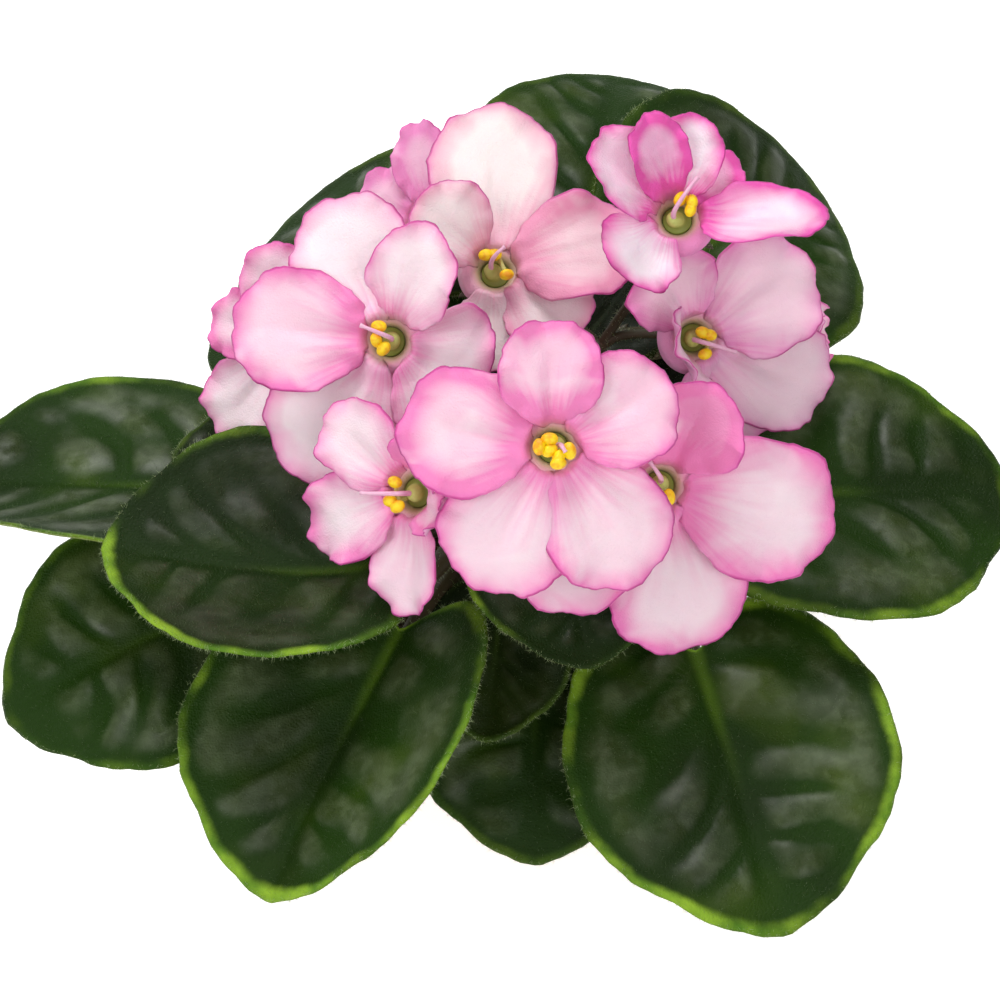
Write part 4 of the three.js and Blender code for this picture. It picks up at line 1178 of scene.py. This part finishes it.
# %% one flower stalk
# Where a stalk grows from the crown, where it forks, and the order numbers of its blooms.
STALKS = [
    ("flower_stalk_01_front", (0.5, -3, 83), (1, -13, 109), (0, 1, 6)),
    ("flower_stalk_02_left", (-3.2, 0.5, 83), (-16, 4, 104), (2, 7)),
    ("flower_stalk_03_back", (-0.5, 3.2, 83), (-5, 16, 101), (3, 8)),
    ("flower_stalk_04_right", (3.2, 0.5, 83), (14, 12.5, 100.5), (4, 5, 9)),
]
PEDICEL_RADIUS = 0.85
BRACT_TURN = math.radians(52)
STALK_HAIRS = 1500


def flower_stalk(row, seed):
    name, foot, fork, blooms = row
    foot, fork = np.array(foot, float), np.array(fork, float)
    rise = np.linalg.norm(fork - foot)
    middle = (foot + fork) / 2 + (0, 0, rise * 0.08)
    stem = smooth_line([foot, middle, fork], 8)
    heading = stem[-1] - stem[-2]
    heading /= np.linalg.norm(heading)
    parts = [tube("stem", stem, np.linspace(1.5, 1.28, len(stem)))]
    for number in blooms:
        to_place = in_frame(bloom_frame(BLOOMS[number]))
        base = -THROAT_DEPTH - 2.3
        top = to_place([0, 0, base])
        reach = np.linalg.norm(top - fork)
        below = to_place([0, 0, base - reach * 0.3])
        path = bezier_line(fork - heading * 1.2, fork + heading * reach * 0.25, below, top, 18)
        parts.append(tube("pedicel", path, np.full(len(path), PEDICEL_RADIUS)))
        parts += calyx(BLOOMS[number])
    for side in (-1, 1):
        out = np.array([math.sin(-side * BRACT_TURN), math.cos(BRACT_TURN), 0])
        tip = fork + out * 6 + (0, 0, 1.2)
        parts.append(spike(lambda points: points, fork - (0, 0, 1.4), tip, (0, 0, 1), 2.2, 1.1))
    for part in parts:
        dress(part, stalk_finish)
    skin = join(name, parts)
    coat = dress(hairs("coat", skin, STALK_HAIRS, 0.9, 0.028, seed), fringe_finish)
    return seat(join(name + "_fine", [skin, coat]), name, "stalk")


for order, row in enumerate(STALKS):
    flower_stalk(row, 500 + order)
print("flower stalks:", len(STALKS))

# %% [markdown]
# ## Crown
# The crown is the plant's short upright stem. Old leaves have left shallow rings and scars on it. It is round
# and nearly straight, so it is turned as on a lathe, and then roughened by two waves, round it and along it.

# %% the crown
crown_finish = speckled_finish("crown_bark", 0.75, 300, "4d5426", "7a6a45", 4)
crown_finish.relief(crown_finish.speckle(1200, 3), 0.0003)

CROWN_NECK = [(5, 34.3), (5, 50), (5, 62), (6.5, 63.6)]
CROWN_STEM = [(8, 65), (7.9, 69), (7.7, 73), (7.4, 79), (6.4, 82.5), (5.2, 85), (4.2, 86.3), (2, 86.9)]
SCARRED_FROM = 64

crown = turned("crown_fine", CROWN_NECK + CROWN_STEM, 48)
close_ends(crown)
skin = points_of(crown)
scarred = skin[:, 2] > SCARRED_FROM
rings = 1 + 0.035 * np.sin(skin[:, 2] * 2.1) * scarred
scars = 1 + 0.03 * np.sin(np.arctan2(skin[:, 1], skin[:, 0]) * 5 + skin[:, 2] * 1.3) * scarred
set_points(crown, skin * np.stack([rings * scars, rings * scars, np.ones(len(skin))], -1))
dress(crown, crown_finish)
seat(crown, "crown", "crown")
print("crown:", len(crown.data.polygons), "faces")

# %% [markdown]
# ## Soil
# Potting soil has a low dome and a crumbly top. The dome is a turned disc, lifted here and there by noise,
# with crumbs half sunk in it.

# %% the soil
soil_finish = speckled_finish("potting_soil", 0.95, 900, "1d140d", "49372a", 4)
soil_finish.relief(soil_finish.speckle(1500, 4), 0.0008)

SOIL_TOP = 58
SOIL_EDGE = 34.2
HOLE = 5.3
CRUMBS = 150
soil_rings = np.linspace(SOIL_EDGE, HOLE, 14)


def dome(radius):
    """How high the soil stands at that distance from the middle."""
    return SOIL_TOP + 2.2 * (1 - (radius / SOIL_EDGE) ** 2)


soil_profile = [(25, 5.3), (28, 24), (31, 40), (SOIL_EDGE - 0.2, 57)]
soil_profile += [(radius, dome(radius)) for radius in soil_rings] + [(HOLE, 45), (HOLE, 34)]
soil = turned("soil_top", soil_profile, 72)
close_ends(soil)
skin = points_of(soil)
radius = np.hypot(skin[:, 0], skin[:, 1])
on_top = (skin[:, 2] > SOIL_TOP) & (radius > HOLE + 1) & (radius < SOIL_EDGE - 1)
lumps = np.array([noise.noise(Vector(point) * 0.35) + 0.5 * noise.noise(Vector(point)) for point in skin])
skin[:, 2] += lumps * 0.7 * on_top
set_points(soil, skin)

# %% its crumbs
def crumb(draw):
    deselect()
    bpy.ops.mesh.primitive_ico_sphere_add(subdivisions=2, radius=1)
    piece = bpy.context.object
    reach = HOLE + 3 + (SOIL_EDGE - HOLE - 5) * math.sqrt(draw.random())
    turn = draw.uniform(0, 2 * math.pi)
    size = draw.uniform(0.6, 1.5)
    spot = Vector((reach * math.cos(turn), reach * math.sin(turn), dome(reach) + size * 0.1))
    stretch = Matrix.Diagonal((size, size * draw.uniform(0.6, 1), size * draw.uniform(0.5, 0.8), 1))
    piece.data.transform(Matrix.Translation(spot) @ Matrix.Rotation(turn * 3, 4, "Z") @ stretch)
    return piece


draw = random.Random(7)
crumbs = [crumb(draw) for _ in range(CRUMBS)]
soil = join("soil_fine", [soil, *crumbs])
dress(soil, soil_finish)
seat(soil, "soil", "soil")
print("soil crumbs:", len(crumbs))

# %% [markdown]
# ## Pot
# A plain clay pot: a slightly tapered wall, a thick rim and four drain holes. It could be a cylinder that is
# scaled and hollowed, but a real one is thrown on a wheel, so it is turned from one profile with small rounded
# corners, and the holes are cut by a Boolean.

# %% clay and the pot's profile
clay_finish = Finish("fired_clay", Roughness=0.85)
cloud = clay_finish.speckle(45, 4)
grain = clay_finish.speckle(2200, 3)
clay = clay_finish.mix(cloud, rgb("a9552f"), rgb("c4774d"))
clay = clay_finish.mix(step(clay_finish.speckle(25, 5), 0.55, 0.75) * 0.35, clay, rgb("d9b9a0"))
clay_finish.colour(clay_finish.mix(step(grain, 0.6, 0.75) * 0.3, clay, rgb("8f4526")))
clay_finish.roughness(0.78 + grain * 0.15)
clay_finish.relief(grain, 0.00015)

POT_OUTSIDE = [(1, 0), (10, 0), (18, 0), (25.6, 0), (26.5, 0.2), (27, 1), (30.3, 20), (33.5, 40)]
POT_RIM = [(35.2, 50.2), (35.5, 50.8), (37.5, 51.2), (38, 51.8), (38.6, 58), (39, 64.6), (38.7, 65.6)]
POT_RIM += [(38, 66), (36.8, 66), (36, 65.7)]
POT_INSIDE = [(35.6, 65), (33.5, 50), (30, 31), (25.2, 7), (24, 5.4), (22.5, 5)]
POT_FLOOR = [(18, 5), (10, 5), (1, 5)]
DRAIN_HOLES, DRAIN_RADIUS, DRAIN_CIRCLE = 4, 3.5, 14

# %% the pot's body
pot = turned("pot_fine", POT_OUTSIDE + POT_RIM + POT_INSIDE + POT_FLOOR, 96)
close_ends(pot)
for i in range(DRAIN_HOLES):
    angle = (i + 0.5) / DRAIN_HOLES * 2 * math.pi
    deselect()
    spot = (DRAIN_CIRCLE * math.cos(angle), DRAIN_CIRCLE * math.sin(angle), 2.5)
    bpy.ops.mesh.primitive_cylinder_add(vertices=32, radius=DRAIN_RADIUS, depth=12, location=spot)
    drill = bpy.context.object
    cut = pot.modifiers.new("drain", "BOOLEAN")
    cut.operation = "DIFFERENCE"
    cut.object = drill
    bpy.context.view_layer.objects.active = pot
    bpy.ops.object.modifier_apply(modifier="drain")
    bpy.data.objects.remove(drill)
dress(pot, clay_finish)
seat(pot, "pot", "clay")
pick(pot)
bpy.ops.object.shade_smooth_by_angle(angle=math.radians(40))
print("pot:", len(pot.data.polygons), "faces,", DRAIN_HOLES, "drain holes")

# %% [markdown]
# ## Floor
# The floor is a plain pale plane. It glows a little, so that it stays as even as a lit studio table.

# %% the floor
deselect()
bpy.ops.mesh.primitive_plane_add(size=6)
floor = bpy.context.object
floor.name = "floor"
floor_finish = Finish("pale_floor", Base_Color=(0.9, 0.9, 0.9, 1), Roughness=0.9, Emission_Strength=0.62)
floor_finish.shader.inputs["Emission Color"].default_value = (1, 1, 1, 1)
dress(floor, floor_finish)
floor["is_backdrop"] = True

# %% [markdown]
# ## Check the size
# The finished plant has to stay inside the solid model's box, apart from a few millimetres of hair and
# relief, so both boxes are written down side by side.

# %% sizes
fine_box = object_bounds()
print("solids:", [round(v, 4) for c in solid_box for v in c])
print("pieces:", [round(v, 4) for c in fine_box for v in c])
